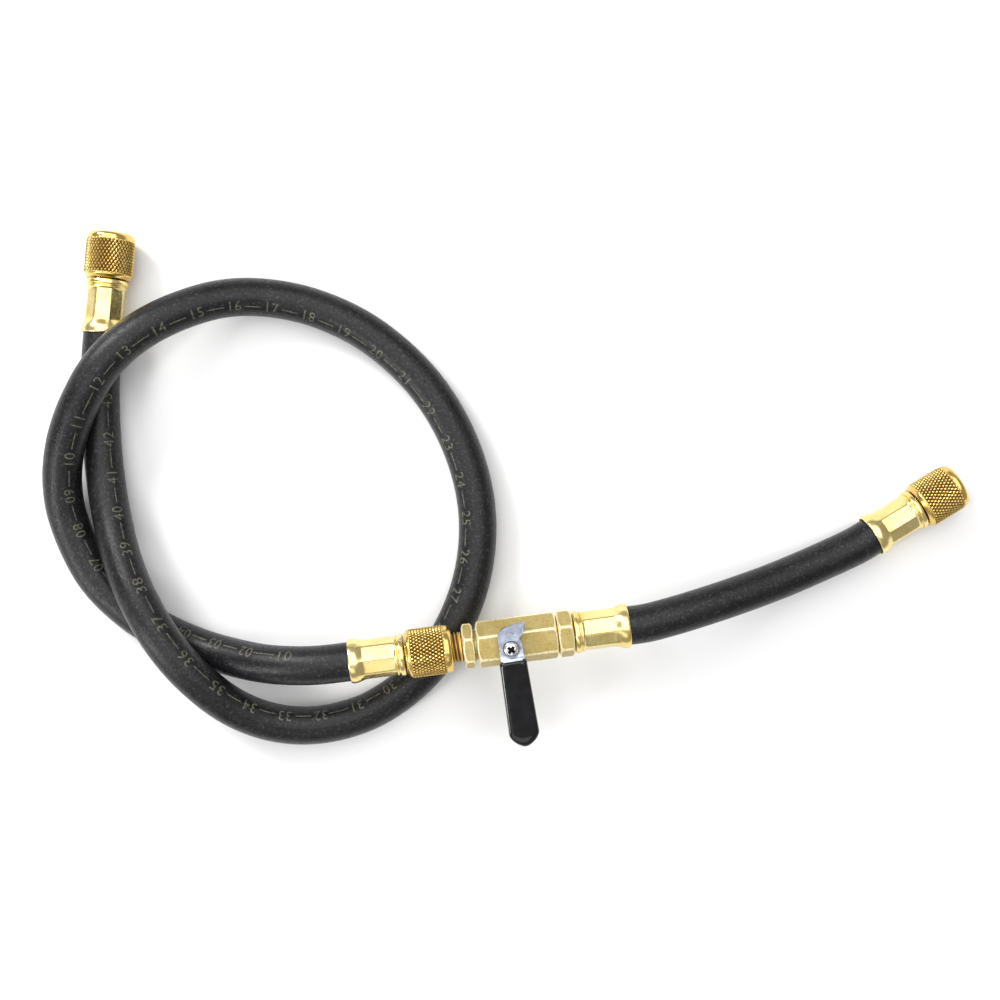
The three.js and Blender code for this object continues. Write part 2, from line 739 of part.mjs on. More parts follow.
const handle = new THREE.Group();
handle.rotation.z = radians(LEVER_LEAN);
handle.add(piece("valve_ball", valveBall(), steel));
handle.add(piece("valve_stem", valveStem(), dullBrass));
handle.add(piece("lever", lever(), zinc));
handle.add(piece("lever_grip", leverGrip(), vinyl));
handle.add(piece("lever_washer", leverWasher(), zinc));
handle.add(piece("lever_screw", leverScrew(), steel));
valve.add(handle);

const whipStart = new THREE.Group();
whipStart.position.y = WHIP_MOUTH;
whipStart.rotation.z = Math.PI;
whipStart.add(piece("whip_ferrule", ferrule(), brass));
whipStart.add(piece("whip_connector", whipConnector(), dullBrass));
valveEnd.add(whipStart);

const freeEnd = fittingFrame(FREE_END);
freeEnd.add(...swivelEnd("free_end"));

const outlet = fittingFrame(OUTLET);
outlet.add(...swivelEnd("outlet"));

part.add(valveEnd, freeEnd, outlet);
part.updateMatrixWorld(true);
part.add(piece("main_hose", hose(valveEnd, MAIN_ROUTE, freeEnd, MAIN_HOSE_STEPS), rubber));
part.add(piece("whip_hose", hose(whipStart, WHIP_ROUTE, outlet, WHIP_HOSE_STEPS), rubber));

// The part stands on z = 0, with the origin in the middle of its footprint.
const footprint = new THREE.Box3().setFromObject(part, true);
const middle = footprint.getCenter(new THREE.Vector3());
part.position.set(-middle.x, -middle.y, -footprint.min.z);

export default part;
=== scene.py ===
import math

import bmesh
import bpy
from mathutils import Matrix, Vector


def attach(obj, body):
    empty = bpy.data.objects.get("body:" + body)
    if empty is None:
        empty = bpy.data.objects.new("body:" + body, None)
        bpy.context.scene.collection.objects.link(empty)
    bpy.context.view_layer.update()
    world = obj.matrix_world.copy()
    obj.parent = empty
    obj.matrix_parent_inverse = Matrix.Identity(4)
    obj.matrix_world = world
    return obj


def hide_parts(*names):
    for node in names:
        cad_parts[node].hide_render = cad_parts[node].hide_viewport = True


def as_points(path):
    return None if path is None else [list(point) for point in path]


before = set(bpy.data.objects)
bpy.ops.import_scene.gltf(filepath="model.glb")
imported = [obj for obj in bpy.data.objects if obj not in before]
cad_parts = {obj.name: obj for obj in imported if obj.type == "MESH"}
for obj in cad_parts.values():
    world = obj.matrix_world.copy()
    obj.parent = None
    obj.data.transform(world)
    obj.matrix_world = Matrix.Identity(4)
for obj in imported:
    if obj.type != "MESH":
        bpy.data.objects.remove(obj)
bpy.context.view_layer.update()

MM = 0.001

# How far the CAD source moves everything at its end, to centre the part's footprint.
SHIFT = Vector((0.0358, 0.5429, 0))

# Clearances, and the stations along a fitting's axis from the mouth of its ferrule.
GAP = 0.3
SEAT_GAP = 0.15
FERRULE_LENGTH = 20
COLLAR_LENGTH = 3.4
NUT_START = FERRULE_LENGTH + GAP
NUT_LENGTH = 16.8
NUT_WEB = 3
NUT_FRONT = NUT_START + NUT_LENGTH
HEAD_START = NUT_START + NUT_WEB + GAP
HEAD_LENGTH = 3.3
GASKET_START = HEAD_START + HEAD_LENGTH + GAP
GASKET_THICKNESS = 2.5
FLARE_TIP = GASKET_START + GASKET_THICKNESS + GAP
THREAD_LENGTH = 11
INLET_HEX_START = FLARE_TIP + THREAD_LENGTH
INLET_HEX_LENGTH = 4.1
BODY_START = INLET_HEX_START + INLET_HEX_LENGTH + 1
STEM_STATION = BODY_START + 11.6
BODY_END = BODY_START + 28.9
WHIP_HEX_LENGTH = 5.6
WHIP_MOUTH = BODY_END + GAP + WHIP_HEX_LENGTH + GAP + FERRULE_LENGTH
FERRULE_WEB = FERRULE_LENGTH - COLLAR_LENGTH - GAP
HOSE_END = FERRULE_WEB - GAP
HOSE_SHOULDER = 2.2
BARB_START = 4.6

# Radii.
HOSE_R = 7
HOSE_NECK_R = 5.55
HOSE_BORE_R = 2.4
SHANK_R = HOSE_BORE_R - GAP
INSERT_BORE_R = 1.3
NECK_R = 3.2
THREAD_R = 5.55
THREAD_PITCH = 1.27
THREAD_DEPTH = 0.7
NUT_R = 8.75
NUT_RIM_R = 8.5
NUT_BORE_R = THREAD_R + GAP
CONNECTOR_BORE_R = 2.2

# Where the long and the short hose run, as in the CAD source.
STRAIGHT_OUT = 6
MAIN_ROUTE = [
    (-69.7, -64.1, 24.4), (-77.7, -64.3, 23.1), (-86.7, -64.1, 20.1), (-94.7, -63.3, 16.2),
    (-103.7, -61.8, 11.9), (-113.2, -59.5, 8.7), (-124.7, -55, 7.3), (-137.7, -47.5, 7.1),
    (-152.2, -33.4, 7.5), (-161.7, -12.3, 9.9), (-163.1, 1.7, 13.2), (-160.4, 16, 17.6),
    (-154.5, 30, 21.1), (-145.7, 44.2, 22.4), (-134.2, 55.1, 21.2), (-120.2, 63.5, 17.5),
    (-104.7, 69, 12.7), (-89.2, 69.9, 9.1), (-70.7, 66.2, 7.3), (-50.2, 56.1, 7),
    (-29.7, 37, 7), (-16.2, 12.7, 7), (-11, -12.8, 7), (-14.7, -39.3, 7),
    (-28.7, -65.6, 7), (-48.7, -81.8, 7.1), (-68.2, -87.8, 8), (-84.7, -86.9, 11),
    (-99.2, -80.8, 15.5), (-112.2, -69.7, 21), (-123.1, -56.8, 23), (-133.2, -40.8, 21.2),
    (-140.5, -26, 16.2), (-145.6, -10.8, 11.1), (-149, 5.7, 8), (-150.7, 23.2, 7.1),
    (-150.8, 39.2, 7.6),
]
WHIP_ROUTE = [
    (58.8, -47.1, 19.6), (70.1, -43.9, 17.9), (85.3, -39.2, 14.8), (100.5, -33.9, 11.9),
    (115.6, -27.7, 9.8),
]


def fitting_frame(mouth, heading, pitch=0, roll=0):
    """The frame of a fitting whose axis points along heading, in degrees, from its ferrule's mouth."""
    turn = (
        Matrix.Rotation(math.radians(heading - 90), 4, "Z")
        @ Matrix.Rotation(math.radians(pitch), 4, "X")
        @ Matrix.Rotation(math.radians(roll), 4, "Y")
    )
    return Matrix.Translation(Vector(mouth) + SHIFT) @ turn


LEVER_LEAN = 2
VALVE_END = fitting_frame((-56.7, -62.7, 24.4), 7.15, -2.2, 8)
FREE_END = fitting_frame((-149.5, 56.4, NUT_R), 85)
OUTLET = fitting_frame((134.4, -18.3, NUT_R), 31.4)
WHIP_END = VALVE_END @ Matrix.Translation((0, WHIP_MOUTH, 0)) @ Matrix.Rotation(math.pi, 4, "Z")
VALVE = VALVE_END @ Matrix.Translation((0, STEM_STATION, 0))
HANDLE = VALVE @ Matrix.Rotation(math.radians(LEVER_LEAN), 4, "Z")
UPRIGHT = Matrix.Rotation(math.pi / 2, 4, "X")


# Camera: straight above, as the photograph was taken.
CAMERA_AT = (-2.66, -4.26, 519)
SENSOR_WIDTH = 36
FOCAL_LENGTH = 49.68


def camera():
    data = bpy.data.cameras.new("camera")
    data.sensor_width = SENSOR_WIDTH
    data.lens = FOCAL_LENGTH
    data.clip_start = 0.01
    data.clip_end = 20
    eye = bpy.data.objects.new("camera", data)
    eye.location = [value * MM for value in CAMERA_AT]
    bpy.context.scene.collection.objects.link(eye)
    bpy.context.scene.camera = eye


# Node materials.
class Nodes:
    """Adds nodes to a material. A value is a number, a colour or another node's output."""

    def __init__(self, name):
        self.material = bpy.data.materials.new(name)
        self.material.use_nodes = True
        self.tree = self.material.node_tree
        self.tree.nodes.clear()
        output = self.add("OutputMaterial")
        self.shader = self.add("BsdfPrincipled")
        self.tree.links.new(self.shader.outputs[0], output.inputs["Surface"])
        self.place = self.add("TexCoord").outputs["Object"]

    def feed(self, socket, value):
        if isinstance(value, bpy.types.NodeSocket):
            self.tree.links.new(value, socket)
        elif isinstance(value, tuple) and socket.type == "RGBA":
            socket.default_value = (*value, 1)
        else:
            socket.default_value = value

    def fill(self, node, values):
        for name, value in values.items():
            self.feed(node.inputs[name.replace("_", " ")], value)
        return node

    def add(self, kind, **values):
        return self.fill(self.tree.nodes.new("ShaderNode" + kind), values)

    def surface(self, colour, roughness, normal, **others):
        values = {"Base_Color": colour, "Roughness": roughness, "Normal": normal, **others}
        self.fill(self.shader, values)
        return self.material

    def along(self, scale):
        """Places on a hose, in shares of the way round it and along it."""
        uv = self.add("TexCoord").outputs["UV"]
        return self.add("Mapping", Vector=uv, Scale=scale).outputs["Vector"]

    def attribute(self, name):
        found = self.add("Attribute")
        found.attribute_name = name
        return found.outputs["Fac"]

    def noise(self, scale, detail=3, roughness=0.5, at=None):
        at = at or self.place
        made = self.add("TexNoise", Vector=at, Scale=scale, Detail=detail, Roughness=roughness)
        return made.outputs["Fac"]

    def cells(self, scale):
        return self.add("TexVoronoi", Vector=self.place, Scale=scale).outputs["Distance"]

    def math(self, operation, a, b):
        made = self.add("Math")
        made.operation = operation
        self.feed(made.inputs[0], a)
        self.feed(made.inputs[1], b)
        return made.outputs[0]

    def spread(self, value, low, high, to_low=0.0, to_high=1.0):
        made = self.add(
            "MapRange", Value=value, From_Min=low, From_Max=high, To_Min=to_low, To_Max=to_high
        )
        return made.outputs["Result"]

    def mix(self, share, a, b):
        made = self.add("Mix")
        made.data_type = "RGBA"
        self.feed(made.inputs[0], share)
        self.feed(made.inputs[6], a)
        self.feed(made.inputs[7], b)
        return made.outputs[2]

    def bump(self, height, distance, strength, under=None):
        made = self.add("Bump", Height=height, Distance=distance, Strength=strength)
        if under is not None:
            self.feed(made.inputs["Normal"], under)
        return made.outputs["Normal"]


def hose_rubber(n):
    specks = n.spread(n.noise(1000, 5, 0.72), 0.53, 0.68)
    pits = n.spread(n.noise(850, 4, 0.7), 0.34, 0.46, 1.0, 0.0)
    blotches = n.spread(n.noise(110, 4, 0.6), 0.35, 0.7)
    lines = n.noise(1, at=n.along((90, 9, 1)))
    dark = n.mix(blotches, (0.005, 0.005, 0.0058), (0.0105, 0.0105, 0.0115))
    dusty = n.mix(n.math("MULTIPLY", specks, 0.8), dark, (0.06, 0.06, 0.066))
    colour = n.mix(n.math("MULTIPLY", pits, 0.8), dusty, (0.003, 0.003, 0.003))
    rough = n.math("ADD", n.spread(blotches, 0, 1, 0.27, 0.36), n.math("MULTIPLY", pits, 0.25))
    ribs = n.bump(lines, 0.00008, 0.5)
    grain = n.bump(n.noise(950, 5, 0.75), 0.00017, 0.7, ribs)
    return n.surface(colour, rough, grain, Specular_IOR_Level=0.3)


def ferrule_brass(n):
    tarnish = n.spread(n.noise(140, 5, 0.6), 0.38, 0.72)
    colour = n.mix(tarnish, (0.92, 0.76, 0.35), (0.84, 0.63, 0.19))
    dulled = n.noise(720, 6, 0.7)
    rough = n.spread(dulled, 0.3, 0.75, 0.19, 0.32)
    waves = n.bump(n.noise(320, 2), 0.0002, 0.16)
    scratches = n.bump(n.noise(2400, 4, 0.7), 0.00004, 0.25, waves)
    return n.surface(colour, rough, scratches, Metallic=1.0)


def nut_brass(n):
    patches = n.spread(n.noise(220, 4, 0.6), 0.35, 0.7)
    gold = n.mix(patches, (0.85, 0.62, 0.21), (0.7, 0.45, 0.11))
    # Painted shade: the knurl's grooves turn dark brown by their depth.
    depth_shade = n.spread(n.attribute("depth_shade"), 0.2, 0.8)
    groove_shade = n.math("MULTIPLY", depth_shade, n.spread(n.noise(900, 3), 0.3, 0.6, 0.7, 1.0))
    colour = n.mix(groove_shade, gold, (0.07, 0.022, 0.006))
    rough = n.math("ADD", n.spread(patches, 0, 1, 0.18, 0.28), n.math("MULTIPLY", groove_shade, 0.4))
    grain = n.bump(n.noise(1800, 4, 0.7), 0.00006, 0.35)
    return n.surface(colour, rough, grain, Metallic=1.0)


def valve_brass(n):
    patches = n.spread(n.noise(190, 5, 0.65), 0.35, 0.68)
    specks = n.spread(n.noise(1300, 4, 0.65), 0.48, 0.7)
    base = n.mix(patches, (0.56, 0.44, 0.18), (0.46, 0.34, 0.1))
    tumbled = n.mix(n.math("MULTIPLY", specks, 0.5), base, (0.25, 0.19, 0.06))
    # Ridges and rims lighter and smoother: partly wear, partly a painted highlight.
    worn = n.spread(n.attribute("edge_wear_and_highlight"), 0.62, 0.9)
    plain = n.mix(worn, tumbled, (0.93, 0.83, 0.5))
    golden = n.mix(n.attribute("golden"), plain, (0.74, 0.47, 0.12))
    # Painted shade: the thread's roots darkened by their depth.
    colour = n.mix(n.attribute("depth_shade"), golden, (0.1, 0.05, 0.012))
    dull = n.spread(n.noise(700, 4, 0.6), 0.3, 0.7, 0.36, 0.5)
    rough = n.math("SUBTRACT", dull, n.math("MULTIPLY", worn, 0.14))
    dents = n.bump(n.cells(900), 0.00014, 0.25)
    grain = n.bump(n.noise(2800, 3, 0.7), 0.00006, 0.5, dents)
    return n.surface(colour, rough, grain, Metallic=0.6)


def lever_zinc(n):
    spangle = n.spread(n.cells(620), 0.1, 0.7)
    patches = n.spread(n.noise(520, 5, 0.65), 0.36, 0.66)
    base = n.mix(patches, (0.5, 0.55, 0.66), (0.2, 0.23, 0.31))
    colour = n.mix(n.math("MULTIPLY", spangle, 0.3), base, (0.66, 0.71, 0.8))
    rough = n.spread(patches, 0, 1, 0.26, 0.4)
    grain = n.bump(n.noise(1500, 4, 0.7), 0.0001, 0.5)
    return n.surface(colour, rough, grain, Metallic=0.9)


def screw_steel(n):
    patches = n.spread(n.noise(500, 4, 0.6), 0.35, 0.7)
    colour = n.mix(patches, (0.88, 0.89, 0.88), (0.74, 0.75, 0.76))
    rough = n.spread(n.noise(1400, 3), 0.3, 0.7, 0.16, 0.28)
    grain = n.bump(n.noise(2600, 3, 0.7), 0.00003, 0.3)
    return n.surface(colour, rough, grain, Metallic=1.0)


def recess_painted_shade(n):
    """The inside of the screw's recess, painted near black as shade."""
    shade_mottle = n.spread(n.noise(1400, 4, 0.6), 0.35, 0.7)
    colour = n.mix(shade_mottle, (0.006, 0.006, 0.007), (0.022, 0.02, 0.018))
    rough = n.spread(shade_mottle, 0, 1, 0.5, 0.7)
    grain = n.bump(n.noise(2600, 3), 0.00005, 0.4)
    return n.surface(colour, rough, grain, Specular_IOR_Level=0.2)


def grip_vinyl(n):
    patches = n.spread(n.noise(260, 4, 0.6), 0.4, 0.7)
    colour = n.mix(patches, (0.0035, 0.0035, 0.0042), (0.009, 0.009, 0.0105))
    rough = n.spread(n.noise(480, 5, 0.65), 0.35, 0.75, 0.06, 0.17)
    sag = n.bump(n.noise(190, 2), 0.0003, 0.16)
    peel = n.bump(n.noise(1500, 2), 0.00005, 0.2, sag)
    return n.surface(colour, rough, peel)


def gasket_rubber(n):
    bloom = n.spread(n.noise(400, 4, 0.6), 0.4, 0.75)
    colour = n.mix(bloom, (0.012, 0.012, 0.012), (0.03, 0.03, 0.031))
    rough = n.spread(bloom, 0, 1, 0.6, 0.78)
    grain = n.bump(n.noise(2400, 3), 0.00008, 0.4)
    return n.surface(colour, rough, grain)


def seat_plastic(n):
    patches = n.spread(n.noise(500, 4), 0.35, 0.7)
    colour = n.mix(patches, (0.8, 0.78, 0.74), (0.68, 0.66, 0.6))
    rough = n.spread(patches, 0, 1, 0.4, 0.55)
    grain = n.bump(n.noise(2000, 2), 0.00004, 0.3)
    return n.surface(colour, rough, grain)


def print_ink(n):
    worn = n.spread(n.noise(1300, 5, 0.75), 0.42, 0.6)
    colour = n.mix(worn, (0.135, 0.13, 0.085), (0.024, 0.024, 0.022))
    rough = n.spread(worn, 0, 1, 0.5, 0.62)
    grain = n.bump(n.noise(2200, 3, 0.65), 0.0001, 0.4)
    return n.surface(colour, rough, grain)


# A material's function gets its nodes as n and adds what its surface needs.
MATERIALS = {
    made.__name__: made(Nodes(made.__name__))
    for made in (
        hose_rubber, ferrule_brass, nut_brass, valve_brass, lever_zinc, screw_steel,
        recess_painted_shade, grip_vinyl, gasket_rubber, seat_plastic, print_ink,
    )
}

# How sharp an edge has to be, in degrees, to stay sharp or to be rounded off.
SHARP = 38
BEVEL_ABOVE = 30


def new_object(name, points, faces, place, look):
    """A mesh of points in millimetres in the frame of place."""
    mesh = bpy.data.meshes.new(name)
    mesh.from_pydata([(place @ Vector(point)) * MM for point in points], [], faces)
    mesh.materials.append(MATERIALS[look])
    obj = bpy.data.objects.new(name, mesh)
    bpy.context.scene.collection.objects.link(obj)
    bm = bmesh.new()
    bm.from_mesh(mesh)
    bmesh.ops.recalc_face_normals(bm, faces=bm.faces)
    bm.to_mesh(mesh)
    bm.free()
    return obj


def bake_modifiers(obj):
    """Keeps what the object's modifiers make of its mesh, and drops them."""
    graph = bpy.context.evaluated_depsgraph_get()
    made = bpy.data.meshes.new_from_object(obj.evaluated_get(graph))
    obj.modifiers.clear()
    obj.data = made


def combine(obj, other, operation):
    modifier = obj.modifiers.new("combine", "BOOLEAN")
    modifier.operation = operation
    modifier.solver = "EXACT"
    modifier.material_mode = "TRANSFER"
    modifier.object = other
    bake_modifiers(obj)
    bpy.data.objects.remove(other)
    return obj


def soften(obj, width):
    """Rounds the sharp edges off."""
    modifier = obj.modifiers.new("soften", "BEVEL")
    modifier.width = width * MM
    modifier.segments = 2
    modifier.limit_method = "ANGLE"
    modifier.angle_limit = math.radians(BEVEL_ABOVE)
    modifier.use_clamp_overlap = True
    bake_modifiers(obj)
    return obj


def dressed(obj, body, slot, *nodes):
    """A finished piece: smooth shading, the body it rides on and the CAD nodes it stands for. Its slot is
    not used.
    """
    obj.data.shade_smooth()
    obj.data.set_sharp_from_angle(angle=math.radians(SHARP))
    weighted = obj.modifiers.new("normals", "WEIGHTED_NORMAL")
    weighted.keep_sharp = True
    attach(obj, body)
    if nodes:
        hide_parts(*nodes)
    return obj


def mark(obj, name, place, share):
    """Gives each point a number for its material, a function of its place in millimetres in a frame."""
    back = place.inverted()
    values = [share(back @ (v.co / MM)) for v in obj.data.vertices]
    obj.data.attributes.new(name, "FLOAT", "POINT").data.foreach_set("value", values)


# Turned shapes. A profile is a list of (radius, station) or (radius, station, rounding) that runs
# round the section, and each of its points becomes a ring of points about Y.
ROUNDING_STEPS = 4
MOST_OF_A_SIDE = 0.48
COLUMNS = 96


def rounded(profile):
    """The profile with its corners rounded."""
    made = []
    for i, corner in enumerate(profile):
        here = Vector(corner[:2])
        if len(corner) < 3:
            made.append(here)
            continue
        back = Vector(profile[i - 1][:2]) - here
        ahead = Vector(profile[(i + 1) % len(profile)][:2]) - here
        start = here + back.normalized() * min(corner[2], back.length * MOST_OF_A_SIDE)
        end = here + ahead.normalized() * min(corner[2], ahead.length * MOST_OF_A_SIDE)
        for step in range(ROUNDING_STEPS + 1):
            t = step / ROUNDING_STEPS
            made.append(start * (1 - t) ** 2 + here * 2 * t * (1 - t) + end * t * t)
    return made


def even_angles(columns, start=0.0):
    """Angles all round, in even steps."""
    return [start + 2 * math.pi * k / columns for k in range(columns)]


def ring(angles, radius, station):
    """A ring about Y. Radius and station are numbers, or functions of the angle."""
    points = []
    for angle in angles:
        r = radius(angle) if callable(radius) else radius
        s = station(angle) if callable(station) else station
        points.append((r * math.sin(angle), s, r * math.cos(angle)))
    return points


def rings_of(angles, profile):
    return [ring(angles, r, s) for r, s in profile]


def joined(rings, closed=True):
    """Points and faces of rings of as many points each, the last joined to the first if closed."""
    count = len(rings[0])
    points = [point for one in rings for point in one]
    faces = []
    for i in range(len(rings) if closed else len(rings) - 1):
        a, b = i * count, (i + 1) % len(rings) * count
        for k in range(count):
            m = (k + 1) % count
            faces.append((a + k, a + m, b + m, b + k))
    return points, faces


def capped(rings):
    """Points and faces of rings from end to end, with a face over each end."""
    points, faces = joined(rings, closed=False)
    count = len(rings[0])
    last = len(points) - count
    return points, [*faces, tuple(range(count)), tuple(range(last, last + count))]


def turned(name, profile, place, look, columns=COLUMNS):
    """A solid of revolution about Y."""
    rings = rings_of(even_angles(columns), rounded(profile))
    return new_object(name, *joined(rings), place, look)


# Hexagons about Y, with a flat up and rounded corners.
HEX_CORNER_STEPS = 4
HEX_FLAT_STEPS = 10
HEX_ROUND = math.radians(2.4)
CHAMFER_SLOPE = 0.5
CHAMFER_INSET = 0.45
EDGE = 0.13
WORN_STRIP = 0.5
INLET_HEX_FLATS = 14.5
HEX_FLATS = 15


def hex_angles():
    """Angles round a hexagon, close together at its corners."""
    angles = []
    for side in range(6):
        corner = math.radians(30 + 60 * side)
        for k in range(-HEX_CORNER_STEPS, HEX_CORNER_STEPS):
            angles.append(corner + HEX_ROUND * k / HEX_CORNER_STEPS)
        first, last = corner + HEX_ROUND, corner + math.radians(60) - HEX_ROUND
        for k in range(HEX_FLAT_STEPS):
            angles.append(first + (last - first) * k / HEX_FLAT_STEPS)
    return angles


def hex_radius(flats):
    """The radius of a hexagon with rounded corners, as a function of the angle."""
    half = flats / 2
    sixth = math.radians(60)

    def radius(angle):
        off = abs((angle + sixth / 2) % sixth - sixth / 2)
        to_corner = sixth / 2 - off
        if to_corner >= HEX_ROUND:
            return half / math.cos(off)
        tangent = half / math.cos(sixth / 2 - HEX_ROUND)
        rise = tangent * math.sin(HEX_ROUND) * math.tan(sixth / 2) / 2
        return tangent + rise * (1 - (to_corner / HEX_ROUND) ** 2)

    return radius


def hex_rings(angles, flats, start, end):
    """Rings of a hexagon bar with its corners turned off at both ends."""
    outline = hex_radius(flats)
    end_r = flats / 2 - CHAMFER_INSET

    def rise(angle):
        return (outline(angle) - end_r) * CHAMFER_SLOPE

    rings = [
        (end_r - EDGE, start),
        (end_r - EDGE * 0.3, start + EDGE * 0.15),
        (end_r + EDGE * 0.6, start + EDGE * 0.6),
        (lambda a: outline(a) - EDGE, lambda a: start + rise(a) - EDGE * CHAMFER_SLOPE),
        (lambda a: outline(a) - EDGE * 0.25, lambda a: start + rise(a) + EDGE * 0.25),
        (outline, lambda a: start + rise(a) + EDGE),
        (outline, lambda a: start + rise(a) + EDGE + WORN_STRIP),
    ]
    made = rings_of(angles, rings)
    middle = start + end
    mirrored = [[(x, middle - y, z) for x, y, z in one] for one in reversed(made)]
    return made + mirrored


def hex_wear_and_highlight(flats, start, end):
    """How bright a hexagon bar's ridges and the rims of its ends are: partly wear, partly a painted
    highlight.
    """
    outline = hex_radius(flats)

    def share(point):
        angle = math.atan2(point.x, point.z)
        radius = math.hypot(point.x, point.z)
        if radius < flats / 2 - CHAMFER_INSET - 0.2:
            return 0.0
        off = abs((angle + math.pi / 6) % (math.pi / 3) - math.pi / 6)
        from_end = min(point.y - start, end - point.y)
        reach = (outline(angle) - flats / 2 + CHAMFER_INSET) * CHAMFER_SLOPE + EDGE * 1.5
        on_ridge = math.pi / 6 - off <= HEX_ROUND * 1.05
        return 1.0 if on_ridge or from_end <= reach else 0.0

    return share


# Threads about Y: rings whose radius follows the screw line, with flat crests and roots.
ROWS_PER_TURN = 8
FLANK_SLOPE = 3.2
FLANK_TOP = 1.25


def thread_rings(angles, crest, root, start, end, fade_start, fade_end):
    """Rings from start to end. The thread runs out over the fade lengths."""
    rows = round((end - start) / THREAD_PITCH * ROWS_PER_TURN)
    made = []
    for i in range(rows + 1):
        s = start + (end - start) * i / rows
        depth = min(1, (s - start) / fade_start, (end - s) / fade_end)

        def radius(angle):
            turn = (s / THREAD_PITCH - angle / (2 * math.pi)) % 1
            height = min(1, max(0, FLANK_TOP - abs(turn - 0.5) * FLANK_SLOPE))
            return root + (crest - root) * (1 - depth + depth * height)

        made.append(ring(angles, radius, s))
    return made


# Hoses.
HOSE_COLUMNS = 64
HOSE_STEP = 1.6
SPLINE_STEPS = 40


def spline(points):
    """Many points along the smooth line through the points, a centripetal Catmull-Rom spline."""
    ends = [points[0] * 2 - points[1], *points, points[-1] * 2 - points[-2]]
    made = []
    for p0, p1, p2, p3 in zip(ends, ends[1:], ends[2:], ends[3:]):
        t0, t1, t2 = ((b - a).length ** 0.5 for a, b in ((p0, p1), (p1, p2), (p2, p3)))
        out = ((p1 - p0) / t0 - (p2 - p0) / (t0 + t1) + (p2 - p1) / t1) * t1
        into = ((p2 - p1) / t1 - (p3 - p1) / (t1 + t2) + (p3 - p2) / t2) * t1
        for k in range(SPLINE_STEPS):
            t = k / SPLINE_STEPS
            made.append(
                p1 * (2 * t ** 3 - 3 * t * t + 1) + out * (t ** 3 - 2 * t * t + t)
                + p2 * (3 * t * t - 2 * t ** 3) + into * (t ** 3 - t * t)
            )
    return [*made, points[-1]]


def evenly(line, step):
    """Points a step apart along a line, and their distances from its start."""
    lengths = [0.0]
    for a, b in zip(line, line[1:]):
        lengths.append(lengths[-1] + (b - a).length)
    count = round(lengths[-1] / step)
    made, at, i = [], [], 0
    for k in range(count + 1):
        want = lengths[-1] * k / count
        while i < len(line) - 2 and lengths[i + 1] < want:
            i += 1
        share = (want - lengths[i]) / (lengths[i + 1] - lengths[i])
        made.append(line[i].lerp(line[i + 1], share))
        at.append(want)
    return made, at


class Route:
    """The middle line of a hose between two ferrules, with an upright and a sideways direction."""

    def __init__(self, start, route, end):
        knots = [
            start @ Vector((0, HOSE_SHOULDER, 0)),
            start @ Vector((0, -STRAIGHT_OUT, 0)),
            *[Vector(point) + SHIFT for point in route],
            end @ Vector((0, -STRAIGHT_OUT, 0)),
            end @ Vector((0, HOSE_SHOULDER, 0)),
        ]
        self.points, self.at = evenly(spline(knots), HOSE_STEP)
        before = [self.points[0] * 2 - self.points[1], *self.points]
        after = [*self.points[1:], self.points[-1] * 2 - self.points[-2]]
        self.frames = [self.frame(b - a) for a, b in zip(before, after)]

    @staticmethod
    def frame(direction):
        ahead = direction.normalized()
        right = ahead.cross(Vector((0, 0, 1))).normalized()
        return right, right.cross(ahead)

    def on(self, distance, angle, radius):
        """The point at a distance along the hose, at an angle from its top towards its right."""
        step = self.at[1]
        i = min(int(distance / step), len(self.points) - 2)
        share = distance / step - i
        middle = self.points[i].lerp(self.points[i + 1], share)
        right = self.frames[i][0].lerp(self.frames[i + 1][0], share)
        up = self.frames[i][1].lerp(self.frames[i + 1][1], share)
        return middle + (right * math.sin(angle) + up * math.cos(angle)) * radius


HOSE_NECK_START = 5


def crimped_end(place, ahead):
    """The stretch of a hose inside its ferrule: middles, directions and radii from its bore outwards."""
    stations = [
        (BARB_START - GAP, HOSE_BORE_R),
        (HOSE_END, HOSE_BORE_R),
        (HOSE_END, HOSE_NECK_R),
        (HOSE_NECK_START, HOSE_NECK_R),
    ]
    directions = Route.frame(ahead)
    return [(place @ Vector((0, s, 0)), directions, r) for s, r in stations]


def hose(name, route, start, end, node):
    """A hose along a route, crimped down and bored at both ends where the barbs go in."""
    first = crimped_end(start, route.points[1] - route.points[0])
    last = crimped_end(end, route.points[-1] - route.points[-2])
    sections = [(p, f, HOSE_R) for p, f in zip(route.points, route.frames)]
    sections[0] = (*sections[0][:2], HOSE_R - GAP / 2)
    sections[-1] = (*sections[-1][:2], HOSE_R - GAP / 2)
    rings = []
    for middle, (right, up), r in [*first, *sections, *reversed(last)]:
        rings.append([
            middle + (right * math.sin(a) + up * math.cos(a)) * r
            for a in even_angles(HOSE_COLUMNS)
        ])
    obj = new_object(name, *capped(rings), Matrix.Identity(4), "hose_rubber")
    unwrap(obj, len(rings))
    return dressed(obj, "root", "hose_rubber", node)


def unwrap(obj, ring_count):
    """UVs of a tube: U once round it, V from end to end."""
    layer = obj.data.uv_layers.new(name="UVMap")
    for polygon in obj.data.polygons:
        columns = [v % HOSE_COLUMNS for v in polygon.vertices]
        wraps = max(columns) - min(columns) > 1
        for loop in polygon.loop_indices:
            index = obj.data.loops[loop].vertex_index
            column = index % HOSE_COLUMNS
            u = (HOSE_COLUMNS if wraps and column == 0 else column) / HOSE_COLUMNS
            layer.data[loop].uv = (u, index // HOSE_COLUMNS / ring_count)


# Print on the long hose: a thin line, broken by plain numbers, on the side towards the loop's inside.
PRINT_ANGLE = math.radians(38)
PRINT_START = 24
PRINT_STEP = 15
PRINT_HEIGHT = 3.9
PRINT_BANDS = 12
PRINT_LIFT = 0.05
LINE_HALF = 0.22
LINE_GAP = 1.4
LINE_STEPS = 8


